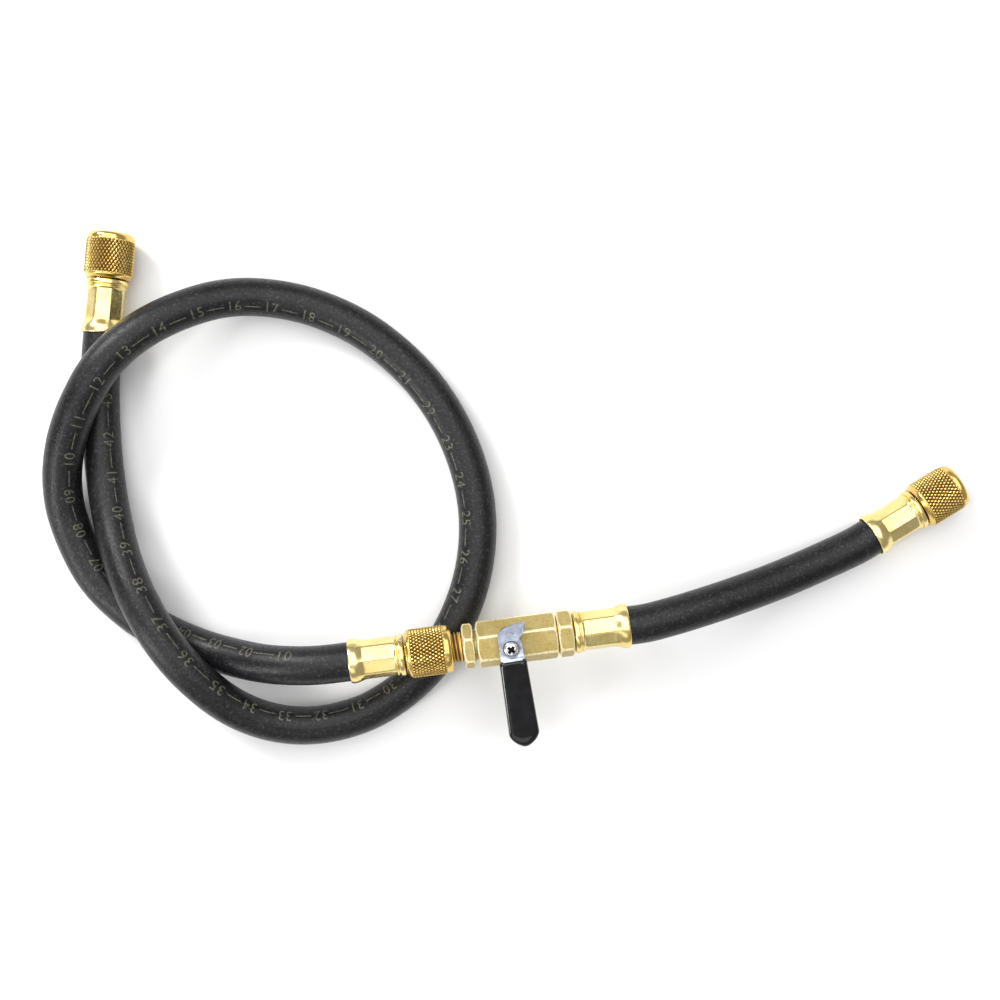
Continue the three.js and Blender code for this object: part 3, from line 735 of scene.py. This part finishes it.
def number_shape(text):
    """A number's outline as a mesh, with its middle at the origin and its height set."""
    curve = bpy.data.curves.new("number", "FONT")
    curve.body = text
    curve.align_x = "CENTER"
    curve.align_y = "CENTER"
    curve.resolution_u = 3
    curve.space_character = 1.12
    holder = bpy.data.objects.new("number", curve)
    bpy.context.scene.collection.objects.link(holder)
    bpy.context.view_layer.update()
    graph = bpy.context.evaluated_depsgraph_get()
    mesh = bpy.data.meshes.new_from_object(holder.evaluated_get(graph))
    bpy.data.objects.remove(holder)
    bm = bmesh.new()
    bm.from_mesh(mesh)
    bpy.data.meshes.remove(mesh)
    low, high = min(v.co.y for v in bm.verts), max(v.co.y for v in bm.verts)
    for i in range(1, PRINT_BANDS):
        whole = [*bm.verts, *bm.edges, *bm.faces]
        height = low + (high - low) * i / PRINT_BANDS
        bmesh.ops.bisect_plane(bm, geom=whole, plane_co=(0, height, 0), plane_no=(0, 1, 0))
    bm.verts.index_update()
    size = PRINT_HEIGHT / (high - low)
    points = [(v.co.x * size, v.co.y * size) for v in bm.verts]
    faces = [tuple(v.index for v in face.verts) for face in bm.faces]
    bm.free()
    return points, faces


def hose_print(route):
    """The numbers and the pieces of line between them, laid on the hose."""
    points, faces = [], []
    radius = HOSE_R + PRINT_LIFT

    def add(flat_points, flat_faces, middle):
        base = len(points)
        for x, y in flat_points:
            points.append(route.on(middle + x, PRINT_ANGLE - y / radius, radius))
        faces.extend(tuple(base + i for i in face) for face in flat_faces)

    count = int((route.at[-1] - 2 * PRINT_START) / PRINT_STEP)
    for k in range(count + 1):
        middle = PRINT_START + k * PRINT_STEP
        shape, shape_faces = number_shape(f"{k + 1:02d}")
        add(shape, shape_faces, middle)
        if k == count:
            break
        half = max(x for x, _ in shape)
        start, end = half + LINE_GAP, PRINT_STEP - half - LINE_GAP
        line = []
        for i in range(LINE_STEPS + 1):
            x = start + (end - start) * i / LINE_STEPS
            line += [(x, -LINE_HALF), (x, LINE_HALF)]
        add(line, [(2 * i, 2 * i + 2, 2 * i + 3, 2 * i + 1) for i in range(LINE_STEPS)], middle)
    obj = new_object("hose_print", points, faces, Matrix.Identity(4), "print_ink")
    return dressed(obj, "root", "hose_rubber")


# Pieces of a crimped hose end with a swivel nut.
CRIMP_SIDES = 8
CRIMP_APOTHEM = 6.55
CRIMP_RIDGE = 7.02
BELL_END = 2.5
WAIST_R = 6.75
WAIST_START = 5.3
WAIST_END = 16.2
OUTSIDE_ABOVE = 6.2
FLATS_FADE = 1.1


def ferrule(name, place, turn, node):
    """A brass ferrule: bell mouth, a waist crimped into flats, and a grooved collar."""
    mouth_r = HOSE_R + GAP
    bore_r = HOSE_NECK_R + GAP
    inner_r = NECK_R + GAP
    bell = [
        (mouth_r, BELL_END), (mouth_r, 0.25, 0.4), (7.75, 0, 0.5), (8.02, 0.9, 0.8), (7.95, 2.6, 1.2),
        (7.1, 4.5, 0.9), (6.8, WAIST_START),
    ]
    waist = [(WAIST_R, station) for station in (6.3, 8, 12, 15.2, WAIST_END)]
    collar = [
        (6.9, 16.7, 0.2), (7.35, 16.85, 0.3), (7.4, 17.5, 0.3), (WAIST_R, 17.65, 0.12),
        (WAIST_R, 18.05, 0.12), (7.6, 18.15, 0.35), (7.7, 19.1, 0.5), (7.4, FERRULE_LENGTH, 0.6),
    ]
    inside = [
        (inner_r, FERRULE_LENGTH), (inner_r, FERRULE_WEB), (bore_r, FERRULE_WEB),
        (bore_r, WAIST_START),
    ]
    profile = bell + waist + collar + inside
    side = 2 * math.pi / CRIMP_SIDES
    angles = even_angles(COLUMNS, math.radians(turn))

    def crimped(r, s):
        """The outside's radius, a function of the angle where the crimp's flats are."""
        into = (s - WAIST_START + FLATS_FADE * 2) / (FLATS_FADE * 2)
        out = (WAIST_END + 0.7 - s) / FLATS_FADE
        share = min(1, into, out)
        if share <= 0 or r < OUTSIDE_ABOVE:
            return r

        def radius(angle):
            off = (angle - math.radians(turn) + side / 2) % side - side / 2
            flat = min(CRIMP_APOTHEM / math.cos(off), CRIMP_RIDGE)
            return r + (flat - WAIST_R) * share

        return radius

    rings = [ring(angles, crimped(r, s), s) for r, s in rounded(profile)]
    obj = new_object(name, *joined(rings), place, "ferrule_brass")
    return dressed(obj, "root", "ferrule_brass", node)


BARBS = 4
BARB_DEPTH = 0.35
HEAD_R = NUT_BORE_R - 2 * GAP


def barbs(*rounding):
    """The profile of the barbs, from the bore at their tip. Their crests are rounded if asked."""
    pitch = (HOSE_END - BARB_START) / BARBS
    root = SHANK_R - BARB_DEPTH
    made = [(INSERT_BORE_R, BARB_START)]
    for i in range(BARBS):
        start = BARB_START + i * pitch
        made += [(root, start), (SHANK_R, start + pitch * 0.8, *rounding)]
    return [*made, (root, HOSE_END)]


def insert(name, place, node):
    """The barbed insert that a swivel nut pulls on."""
    head_end = HEAD_START + HEAD_LENGTH
    profile = [
        *barbs(0.08), (NECK_R, FERRULE_WEB, 0.2), (NECK_R, HEAD_START, 0.2),
        (HEAD_R, HEAD_START, 0.3), (HEAD_R, head_end, 0.4), (INSERT_BORE_R, head_end, 0.3),
    ]
    obj = turned(name, profile, place, "valve_brass", 48)
    return dressed(obj, "root", "valve_brass", node)


# Knurl: two sets of grooves that cross, on a mesh whose rows and columns fall on them.
KNURLS = 40
SAMPLES = 8
KNURL_ROWS = 48
INNER_PER_OUTER = 5
KNURL_DEPTH = 0.4
KNURL_START = 21.9
KNURL_END = 34.7
GROOVE_HALF = 0.36
RUN_OUT = 0.45


def knurl_groove(i, j):
    """How deep in a groove a point of the knurl's mesh lies, from 0 on top to 1 at its bottom."""
    nearest = 1.0
    for line in (i + j, i - j):
        share = (line % SAMPLES) / SAMPLES
        nearest = min(nearest, share, 1 - share)
    return max(0.0, 1 - nearest / GROOVE_HALF)


def nut_inside(angles):
    """Rings from the nut's mouth, through its thread and the bore of its web, to its back."""
    web_end = NUT_START + NUT_WEB
    thread = thread_rings(
        angles, NUT_BORE_R - 0.22, NUT_BORE_R + 0.4, web_end + 3, NUT_FRONT - 0.6, 0.8, 0.8
    )
    mouth = [(NUT_BORE_R + 0.7, NUT_FRONT), (NUT_BORE_R + 0.45, NUT_FRONT - 0.12)]
    web = [
        (NUT_BORE_R, web_end + 2.9), (NUT_BORE_R, web_end),
        (NECK_R + GAP, web_end), (NECK_R + GAP, NUT_START),
    ]
    return [*rings_of(angles, mouth), *reversed(thread), *rings_of(angles, web)]


def knurled_nut(name, place, body, node):
    """A swivel nut. Its material paints shade into the grooves, darker by their depth."""
    columns = KNURLS * SAMPLES
    outer_angles = even_angles(columns)
    back = [
        (7.3, NUT_START, 0.4), (NUT_RIM_R, NUT_START + 1.15, 0.9),
        (NUT_RIM_R, KNURL_START - 0.05, 0.1),
    ]
    front = [
        (NUT_RIM_R, KNURL_END + 0.05, 0.1), (NUT_RIM_R, NUT_FRONT - 1.0, 0.7),
        (NUT_RIM_R - 0.8, NUT_FRONT, 0.4), (7.2, NUT_FRONT),
    ]
    rings, depth_shade = [], []
    for r, s in rounded(back):
        rings.append(ring(outer_angles, r, s))
        depth_shade += [0.0] * columns
    knurl_first = len(rings)
    for j in range(KNURL_ROWS + 1):
        s = KNURL_START + (KNURL_END - KNURL_START) * j / KNURL_ROWS
        share = min(1, (s - KNURL_START) / RUN_OUT, (KNURL_END - s) / RUN_OUT)
        one = []
        for i, angle in enumerate(outer_angles):
            groove = knurl_groove(i, j)
            r = NUT_RIM_R + (NUT_R - KNURL_DEPTH * groove - NUT_RIM_R) * share
            one.append((r * math.sin(angle), s, r * math.cos(angle)))
            depth_shade.append(groove * share)
        rings.append(one)
    for r, s in rounded(front):
        rings.append(ring(outer_angles, r, s))
        depth_shade += [0.0] * columns
    points, faces = joined(rings, closed=False)
    split_knurl(faces, columns, knurl_first, KNURL_ROWS)

    few = columns // INNER_PER_OUTER
    inner = nut_inside(even_angles(few))
    inner_points, inner_faces = joined(inner, closed=False)
    base = len(points)
    depth_shade += [0.0] * len(inner_points)
    last = (len(rings) - 1) * columns
    faces += [tuple(base + i for i in face) for face in inner_faces]
    faces += bridge(last, columns, base, few)
    faces += bridge(0, columns, base + (len(inner) - 1) * few, few)
    obj = new_object(name, points + inner_points, faces, place, "nut_brass")
    # Each point's depth in a groove, for the shade painted there.
    obj.data.attributes.new("depth_shade", "FLOAT", "POINT").data.foreach_set("value", depth_shade)
    return dressed(obj, body, "nut_brass", node)


def split_knurl(faces, columns, first, rows):
    """Splits the knurl's faces along the grooves."""
    low, high = first * columns, (first + rows) * columns
    kept = [face for face in faces if not low <= face[0] < high]
    for j in range(rows):
        for i in range(columns):
            a = low + j * columns + i
            b = low + j * columns + (i + 1) % columns
            c, d = b + columns, a + columns
            along = (i - j) % SAMPLES == 0 or ((i + j + 1) % SAMPLES and i % 2)
            kept += [(a, b, c), (a, c, d)] if along else [(a, b, d), (b, c, d)]
    faces[:] = kept


def bridge(many_start, many, few_start, few):
    """Faces of a flat ring between a fine and a coarse circle."""
    each = many // few
    faces = []
    for k in range(few):
        fine = [many_start + (k * each + i) % many for i in range(each + 1)]
        faces.append((*fine, few_start + (k + 1) % few, few_start + k))
    return faces


GASKET_BORE_R = 2.2


def gasket(name, place, body, node):
    """The washer of rubber that a nut presses on a flare."""
    end = GASKET_START + GASKET_THICKNESS
    profile = [
        (GASKET_BORE_R, GASKET_START, 0.2), (HEAD_R, GASKET_START, 0.3),
        (HEAD_R, end, 0.3), (GASKET_BORE_R, end, 0.35),
    ]
    return dressed(turned(name, profile, place, "gasket_rubber", 64), body, "gasket_rubber", node)


def swivel_end(prefix, place, turn, body):
    """All four pieces of a hose end. The nut and the gasket ride on body."""
    return [
        ferrule(f"{prefix}_ferrule_fine", place, turn, f"{prefix}_ferrule"),
        insert(f"{prefix}_insert_fine", place, f"{prefix}_insert"),
        knurled_nut(f"{prefix}_nut_fine", place, body, f"{prefix}_nut"),
        gasket(f"{prefix}_gasket_fine", place, body, f"{prefix}_gasket"),
    ]


# The valve. The ball's chamber reaches as far to both sides of the stem's axis.
CHAMBER_REACH = 7
CHAMBER_R = 5.5
INLET_TAIL_R = 5.2
WHIP_BORE_R = 4.8
WHIP_TAIL_R = 4.5
WHIP_TAIL_REACH = 6.8


def inlet_connector():
    """Male flare thread, hexagon collar and tail."""
    angles = hex_angles()
    root = THREAD_R - THREAD_DEPTH
    hex_end = INLET_HEX_START + INLET_HEX_LENGTH
    thread_start = FLARE_TIP + 1.4
    tail_end = STEM_STATION - CHAMBER_REACH
    flare = [
        (CONNECTOR_BORE_R, FLARE_TIP + 0.2), (CONNECTOR_BORE_R + 0.25, FLARE_TIP),
        (root - 1.3, FLARE_TIP), (root - 1.1, FLARE_TIP + 0.1),
    ]
    relief = [(root, INLET_HEX_START - 0.3), (root + 0.15, INLET_HEX_START)]
    tail = [
        (INLET_TAIL_R + 0.15, hex_end), (INLET_TAIL_R, hex_end + 0.15), (INLET_TAIL_R, tail_end),
        (CONNECTOR_BORE_R, tail_end),
    ]
    rings = [
        *rings_of(angles, flare),
        *thread_rings(angles, THREAD_R, root, thread_start, INLET_HEX_START - 0.5, 1.2, 0.9),
        *rings_of(angles, relief),
        *hex_rings(angles, INLET_HEX_FLATS, INLET_HEX_START, hex_end),
        *rings_of(angles, tail),
    ]
    obj = new_object("inlet_connector_fine", *joined(rings), VALVE_END, "valve_brass")
    mark(obj, "edge_wear_and_highlight", VALVE_END, hex_wear_and_highlight(INLET_HEX_FLATS, INLET_HEX_START, hex_end))
    mark(obj, "golden", VALVE_END, lambda point: float(point.y < INLET_HEX_START - 0.1))

    # How deep each point lies in the thread, for the shade painted into its roots.
    def depth(point):
        radius = math.hypot(point.x, point.z)
        inside = thread_start < point.y < INLET_HEX_START and radius > root - 0.1
        return max(0.0, min(1.0, (THREAD_R - radius) / THREAD_DEPTH)) if inside else 0.0

    mark(obj, "depth_shade", VALVE_END, depth)
    return dressed(obj, "root", "valve_brass", "inlet_connector")


def whip_connector():
    """Hexagon that carries the short hose, with a tail in the valve body and barbs in the hose."""
    angles = hex_angles()
    hex_start = FERRULE_LENGTH + GAP
    hex_end = hex_start + WHIP_HEX_LENGTH
    tail_end = hex_end + GAP + WHIP_TAIL_REACH
    neck = [
        *barbs(), (NECK_R, FERRULE_WEB), (NECK_R, hex_start - 0.1), (NECK_R + 0.1, hex_start),
    ]
    tail = [(WHIP_TAIL_R, hex_end), (WHIP_TAIL_R, tail_end), (INSERT_BORE_R, tail_end)]
    rings = [
        *rings_of(angles, neck),
        *hex_rings(angles, HEX_FLATS, hex_start, hex_end),
        *rings_of(angles, tail),
    ]
    obj = new_object("whip_connector_fine", *joined(rings), WHIP_END, "valve_brass")
    mark(obj, "edge_wear_and_highlight", WHIP_END, hex_wear_and_highlight(HEX_FLATS, hex_start, hex_end))
    return dressed(obj, "root", "valve_brass", "whip_connector")


FLAT_TOP = HEX_FLATS / 2
GLAND_TOP = FLAT_TOP + 1.9
GLAND_R = 3.6
GLAND_ROOT = 6
STEM_BORE_R = 2.3
STEM_BORE_FLOOR = 1


def upright_cylinder(radius, bottom, top):
    """A closed cylinder on the stem's axis, for joining or cutting."""
    rings = rings_of(even_angles(48), [(radius, bottom), (radius, top)])
    return new_object("cutter", *capped(rings), VALVE @ UPRIGHT, "valve_brass")


def valve_body():
    """A hexagon bar with the bores of the real body and a gland for the stem."""
    angles = hex_angles()
    start, end = BODY_START - STEM_STATION, BODY_END - STEM_STATION
    whip_shoulder = end - WHIP_TAIL_REACH - GAP
    bores = [
        (WHIP_BORE_R, end), (WHIP_BORE_R, whip_shoulder), (CONNECTOR_BORE_R, whip_shoulder),
        (CONNECTOR_BORE_R, CHAMBER_REACH), (CHAMBER_R, CHAMBER_REACH), (CHAMBER_R, start),
    ]
    rings = hex_rings(angles, HEX_FLATS, start, end) + rings_of(angles, bores)
    body = new_object("valve_body_fine", *joined(rings), VALVE, "valve_brass")
    combine(body, upright_cylinder(GLAND_R, GLAND_ROOT, GLAND_TOP), "UNION")
    combine(body, upright_cylinder(STEM_BORE_R, STEM_BORE_FLOOR, GLAND_TOP + 1), "DIFFERENCE")
    mark(body, "edge_wear_and_highlight", VALVE, hex_wear_and_highlight(HEX_FLATS, start, end))
    return dressed(body, "root", "valve_brass", "valve_body")


LEVER_UNDERSIDE = GLAND_TOP + GAP
LEVER_THICKNESS = 1.7
LEVER_TOP = LEVER_UNDERSIDE + LEVER_THICKNESS
CRANK_START = 3.1
CRANK_END = 4.3
CRANK_RISE = 1.2
SHOULDER = 4.1
HEAD_HALF = 4.15
TONGUE_HALF = 3.5
TONGUE_END = 33.4
STEM_HOLE_HALF = 1.7

# The stop tab's edge in plan, from its root to its tip, and how far in from it the bend starts.
TAB_ROOT = Vector((-5.5, 5.8))
TAB_TIP = Vector((-8.1, 6.3))
TAB_BEND = 1.7
TAB_LEG = 0.9


def prism(outline, low, high, place, look):
    """A closed solid between two heights over an outline of (x, y) or (x, y, rounding)."""
    flat = rounded(outline)
    count = len(flat)
    points = [(x, y, low) for x, y in flat] + [(x, y, high) for x, y in flat]
    faces = [tuple(range(count)), tuple(range(count, 2 * count))]
    faces += [(i, (i + 1) % count, count + (i + 1) % count, count + i) for i in range(count)]
    return new_object("lever_fine", points, faces, place, look)


def lever_plan(cut_back):
    """The plate's plan, its tab's edge moved in by a distance."""
    edge = (TAB_TIP - TAB_ROOT).normalized()
    inward = Vector((-edge.y, edge.x)) * cut_back
    root, tip = TAB_ROOT + inward, TAB_TIP + inward
    return [
        (SHOULDER, HEAD_HALF), (-1.2, HEAD_HALF, 0.7), (-3.1, 3.3, 0.6), (*root, 0.2), (*tip, 0.3),
        (-7.6, -1.7, 1.3), (-5.6, -4.05, 1.3), (-1, -HEAD_HALF), (SHOULDER, -HEAD_HALF),
        (SHOULDER, -TONGUE_HALF, 0.3), (TONGUE_END, -TONGUE_HALF, 1.5),
        (TONGUE_END, TONGUE_HALF, 1.5), (SHOULDER, TONGUE_HALF, 0.3),
    ]


def lever():
    """The plate: its head round the stem, the stop tab bent down, and the tongue inside the grip."""
    bottom, top = LEVER_UNDERSIDE, LEVER_TOP
    past_head, past_tongue = 12, 40
    side = [
        (-past_head, bottom), (CRANK_START, bottom, 0.6), (CRANK_END, bottom + CRANK_RISE, 0.6),
        (past_tongue, bottom + CRANK_RISE), (past_tongue, top + CRANK_RISE),
        (CRANK_END, top + CRANK_RISE, 0.6), (CRANK_START, top, 0.6), (-past_head, top),
    ]
    plate = prism(lever_plan(TAB_BEND), bottom - 3, top + 3, HANDLE, "lever_zinc")
    strip = prism(side, -past_head, past_head, HANDLE @ UPRIGHT, "lever_zinc")
    combine(plate, strip, "INTERSECT")
    foot = FLAT_TOP - 0.2
    overlap = -TAB_BEND - 0.3
    bend = [
        (overlap, bottom), (-TAB_LEG, bottom, 0.25), (-TAB_LEG, foot), (0, foot), (0, top, 1.5),
        (overlap, top),
    ]
    edge = TAB_TIP - TAB_ROOT
    turn = Matrix.Translation((*TAB_ROOT, 0)) @ Matrix.Rotation(math.atan2(-edge.x, edge.y), 4, "Z")
    flange = prism(bend, -6, 6, HANDLE @ turn @ UPRIGHT, "lever_zinc")
    whole = prism(lever_plan(0), foot - 1, top + 3, HANDLE, "lever_zinc")
    combine(flange, whole, "INTERSECT")
    combine(plate, flange, "UNION")
    h = STEM_HOLE_HALF
    square = [(-h, -h), (h, -h), (h, h), (-h, h)]
    hole = prism(square, bottom - 1, top + 1, HANDLE, "lever_zinc")
    combine(plate, hole, "DIFFERENCE")
    soften(plate, 0.18)
    plate.name = "lever_fine"
    return dressed(plate, "valve_lever", "lever_zinc", "lever")


# The grip: rings across the lever, round-cornered, closed at the tip and hollow for the tongue.
GRIP_START = 4.4
GRIP_END = 36
GRIP_TIP = 5.2
GRIP_RIM = 0.65
GRIP_STEPS = 24
TIP_STEPS = 16
GRIP_MIDDLE = LEVER_UNDERSIDE + CRANK_RISE + LEVER_THICKNESS / 2


def squared_ring(x, half_width, half_height, squareness, columns=72):
    """A ring across the lever. Its squareness runs from 2, an ellipse, up to a sharp rectangle."""
    made = []
    for angle in even_angles(columns):
        c, s = math.cos(angle), math.sin(angle)
        y = math.copysign(abs(c) ** (2 / squareness), c) * half_width
        z = math.copysign(abs(s) ** (2 / squareness), s) * half_height
        made.append((x, y, GRIP_MIDDLE + z))
    return made


def lever_grip():
    """The dipped grip: its pocket, its rounded rim, and a body that widens towards a blunt tip."""
    # Half the grip's width at both ends and half its thickness, then the same of its pocket.
    start_half, end_half, thick = 4.85, 5.4, 2.35
    tip_start = GRIP_END - GRIP_TIP
    pocket_half, pocket_thick = 3.8, 1.15
    rings = [
        squared_ring(TONGUE_END + GAP, pocket_half, pocket_thick, 12),
        squared_ring(GRIP_START + 0.2, pocket_half, pocket_thick, 12),
        squared_ring(GRIP_START, pocket_half + 0.12, pocket_thick + 0.12, 10),
    ]
    for inward, narrow in ((0, 0.55), (0.08, 0.28), (0.3, 0.08), (GRIP_RIM, 0)):
        rings.append(squared_ring(GRIP_START + inward, start_half - narrow, thick - narrow, 4))
    for i in range(1, GRIP_STEPS + 1):
        t = i / GRIP_STEPS
        x = GRIP_START + GRIP_RIM + (tip_start - GRIP_START - GRIP_RIM) * t
        rings.append(squared_ring(x, start_half + (end_half - start_half) * t, thick, 4))
    for i in range(1, TIP_STEPS):
        t = math.sin(math.pi / 2 * i / TIP_STEPS)
        half_width = end_half * (1 - t ** 1.6) ** 0.68
        half_height = thick * (1 - t ** 2.6) ** 0.5
        rings.append(squared_ring(tip_start + GRIP_TIP * t, half_width, half_height, 4 - 1.6 * t))
    obj = new_object("lever_grip_fine", *capped(rings), HANDLE, "grip_vinyl")
    return dressed(obj, "valve_lever", "grip_vinyl", "lever_grip")


WASHER_BOTTOM = LEVER_TOP + SEAT_GAP
WASHER_TOP = WASHER_BOTTOM + 0.6
SCREW_HEAD_BOTTOM = WASHER_TOP + SEAT_GAP
SCREW_HEAD_TOP = SCREW_HEAD_BOTTOM + 1.7


def lever_washer():
    """A washer with a lip round its edge."""
    hole_r, outer_r = 1.15, 3.35
    lip_top = WASHER_TOP + 0.1
    floor_height = WASHER_BOTTOM + 0.25
    profile = [
        (hole_r, WASHER_BOTTOM, 0.1), (outer_r, WASHER_BOTTOM, 0.1), (outer_r, lip_top, 0.2),
        (2.9, lip_top, 0.15), (2.75, floor_height, 0.1), (hole_r, floor_height, 0.1),
    ]
    obj = turned("lever_washer_fine", profile, HANDLE @ UPRIGHT, "lever_zinc", 64)
    return dressed(obj, "valve_lever", "lever_zinc", "lever_washer")


def lever_screw():
    """A pan-head screw with a cross recess."""
    shank, head = 1, 2.6
    low, top = SCREW_HEAD_BOTTOM, SCREW_HEAD_TOP
    outline = rounded([
        (shank, low - 4.6, 0.3), (shank, low, 0.1), (head, low, 0.2), (head, low + 0.7, 0.4),
        (2.2, top - 0.25, 0.6), (1.1, top),
    ])
    rings = rings_of(even_angles(64), outline)
    screw = new_object("lever_screw_fine", *capped(rings), HANDLE @ UPRIGHT, "screw_steel")
    long, narrow, depth = 1.5, 0.55, 1.25
    slot = [
        (-long, top + 0.5), (-long, top - 0.3), (-long * 0.6, top - depth),
        (long * 0.6, top - depth), (long, top - 0.3), (long, top + 0.5),
    ]
    slots = []
    for angle in (45, 135):
        across = HANDLE @ Matrix.Rotation(math.radians(angle), 4, "Z") @ UPRIGHT
        # The recess's faces take this cutter's material, the painted shade.
        slots.append(prism(slot, -narrow, narrow, across, "recess_painted_shade"))
    cross = combine(slots[0], slots[1], "UNION")
    combine(screw, cross, "DIFFERENCE")
    soften(screw, 0.05)
    screw.name = "lever_screw_fine"
    return dressed(screw, "valve_lever", "screw_steel", "lever_screw")


# Floor and light, in metres and watts.
FLOOR_HALF = 4
FLOOR_DROP = 0.0001


def floor():
    """A pale sheet just under the hose."""
    mesh = bpy.data.meshes.new("floor")
    signs = [(-1, -1), (1, -1), (1, 1), (-1, 1)]
    corners = [(x * FLOOR_HALF, y * FLOOR_HALF, -FLOOR_DROP) for x, y in signs]
    mesh.from_pydata(corners, [], [(0, 1, 2, 3)])
    paper = bpy.data.materials.new("paper")
    paper.use_nodes = True
    shader = paper.node_tree.nodes["Principled BSDF"]
    shader.inputs["Base Color"].default_value = (0.86, 0.86, 0.86, 1)
    shader.inputs["Roughness"].default_value = 0.85
    mesh.materials.append(paper)
    obj = bpy.data.objects.new("floor", mesh)
    bpy.context.scene.collection.objects.link(obj)


def area_light(name, place, target, width, height, power):
    data = bpy.data.lights.new(name, "AREA")
    data.shape = "RECTANGLE"
    data.size = width
    data.size_y = height
    data.energy = power
    lamp = bpy.data.objects.new(name, data)
    lamp.location = place
    lamp.rotation_mode = "QUATERNION"
    lamp.rotation_quaternion = (Vector(target) - Vector(place)).to_track_quat("-Z", "Y")
    bpy.context.scene.collection.objects.link(lamp)


def studio():
    """Soft white light from all round, with four soft lamps above."""
    world = bpy.data.worlds.new("studio")
    world.use_nodes = True
    background = world.node_tree.nodes["Background"]
    background.inputs["Color"].default_value = (1, 1, 1, 1)
    background.inputs["Strength"].default_value = 0.36
    bpy.context.scene.world = world
    area_light("overhead", (0, 0.4, 1), (0, 0.4, 0), 1.25, 1.4, 11.5)
    area_light("key", (-0.75, 0.75, 0.72), (0, 0, 0), 0.34, 0.34, 10)
    area_light("edge", (-0.85, -0.5, 0.6), (0, -0.07, 0), 0.14, 0.7, 5)
    area_light("fill", (-0.15, -0.85, 0.85), (0, 0, 0), 0.9, 0.5, 1.4)
    bpy.context.scene.view_settings.view_transform = "Standard"


def metres(point):
    return tuple(point * MM)


def whole_path(route, start, end):
    """A hose's middle line with its crimped ends, in metres."""
    inside = [Vector((0, station, 0)) for station in (HOSE_END, HOSE_NECK_START)]
    first = [start @ point for point in inside]
    last = [end @ point for point in reversed(inside)]
    return [metres(point) for point in (*first, *route.points, *last)]


def build():
    """Everything in the scene. The ball, its seats and the stem keep their CAD solids."""
    camera()
    main_route = Route(VALVE_END, MAIN_ROUTE, FREE_END)
    whip_route = Route(WHIP_END, WHIP_ROUTE, OUTLET)
    main_hose = hose("main_hose_fine", main_route, VALVE_END, FREE_END, "main_hose")
    whip_hose = hose("whip_hose_fine", whip_route, WHIP_END, OUTLET, "whip_hose")
    hose_print(main_route)
    swivel_end("valve_end", VALVE_END, 12, "root")
    free_pieces = swivel_end("free_end", FREE_END, 8, "free_end_swivel")
    outlet_pieces = swivel_end("outlet", OUTLET, -12, "outlet_swivel")
    ferrule("whip_ferrule_fine", WHIP_END, 25.5, "whip_ferrule")
    inlet_connector()
    whip_connector()
    valve_body()
    lever()
    lever_grip()
    lever_washer()
    lever_screw()
    for node, look in (
        ("valve_ball", "screw_steel"), ("inlet_seat", "seat_plastic"),
        ("outlet_seat", "seat_plastic"), ("valve_stem", "valve_brass"),
    ):
        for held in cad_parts[node].material_slots:
            held.material = MATERIALS[look]
    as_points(whole_path(main_route, VALVE_END, FREE_END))
    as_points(whole_path(whip_route, WHIP_END, OUTLET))
    floor()
    studio()


build()
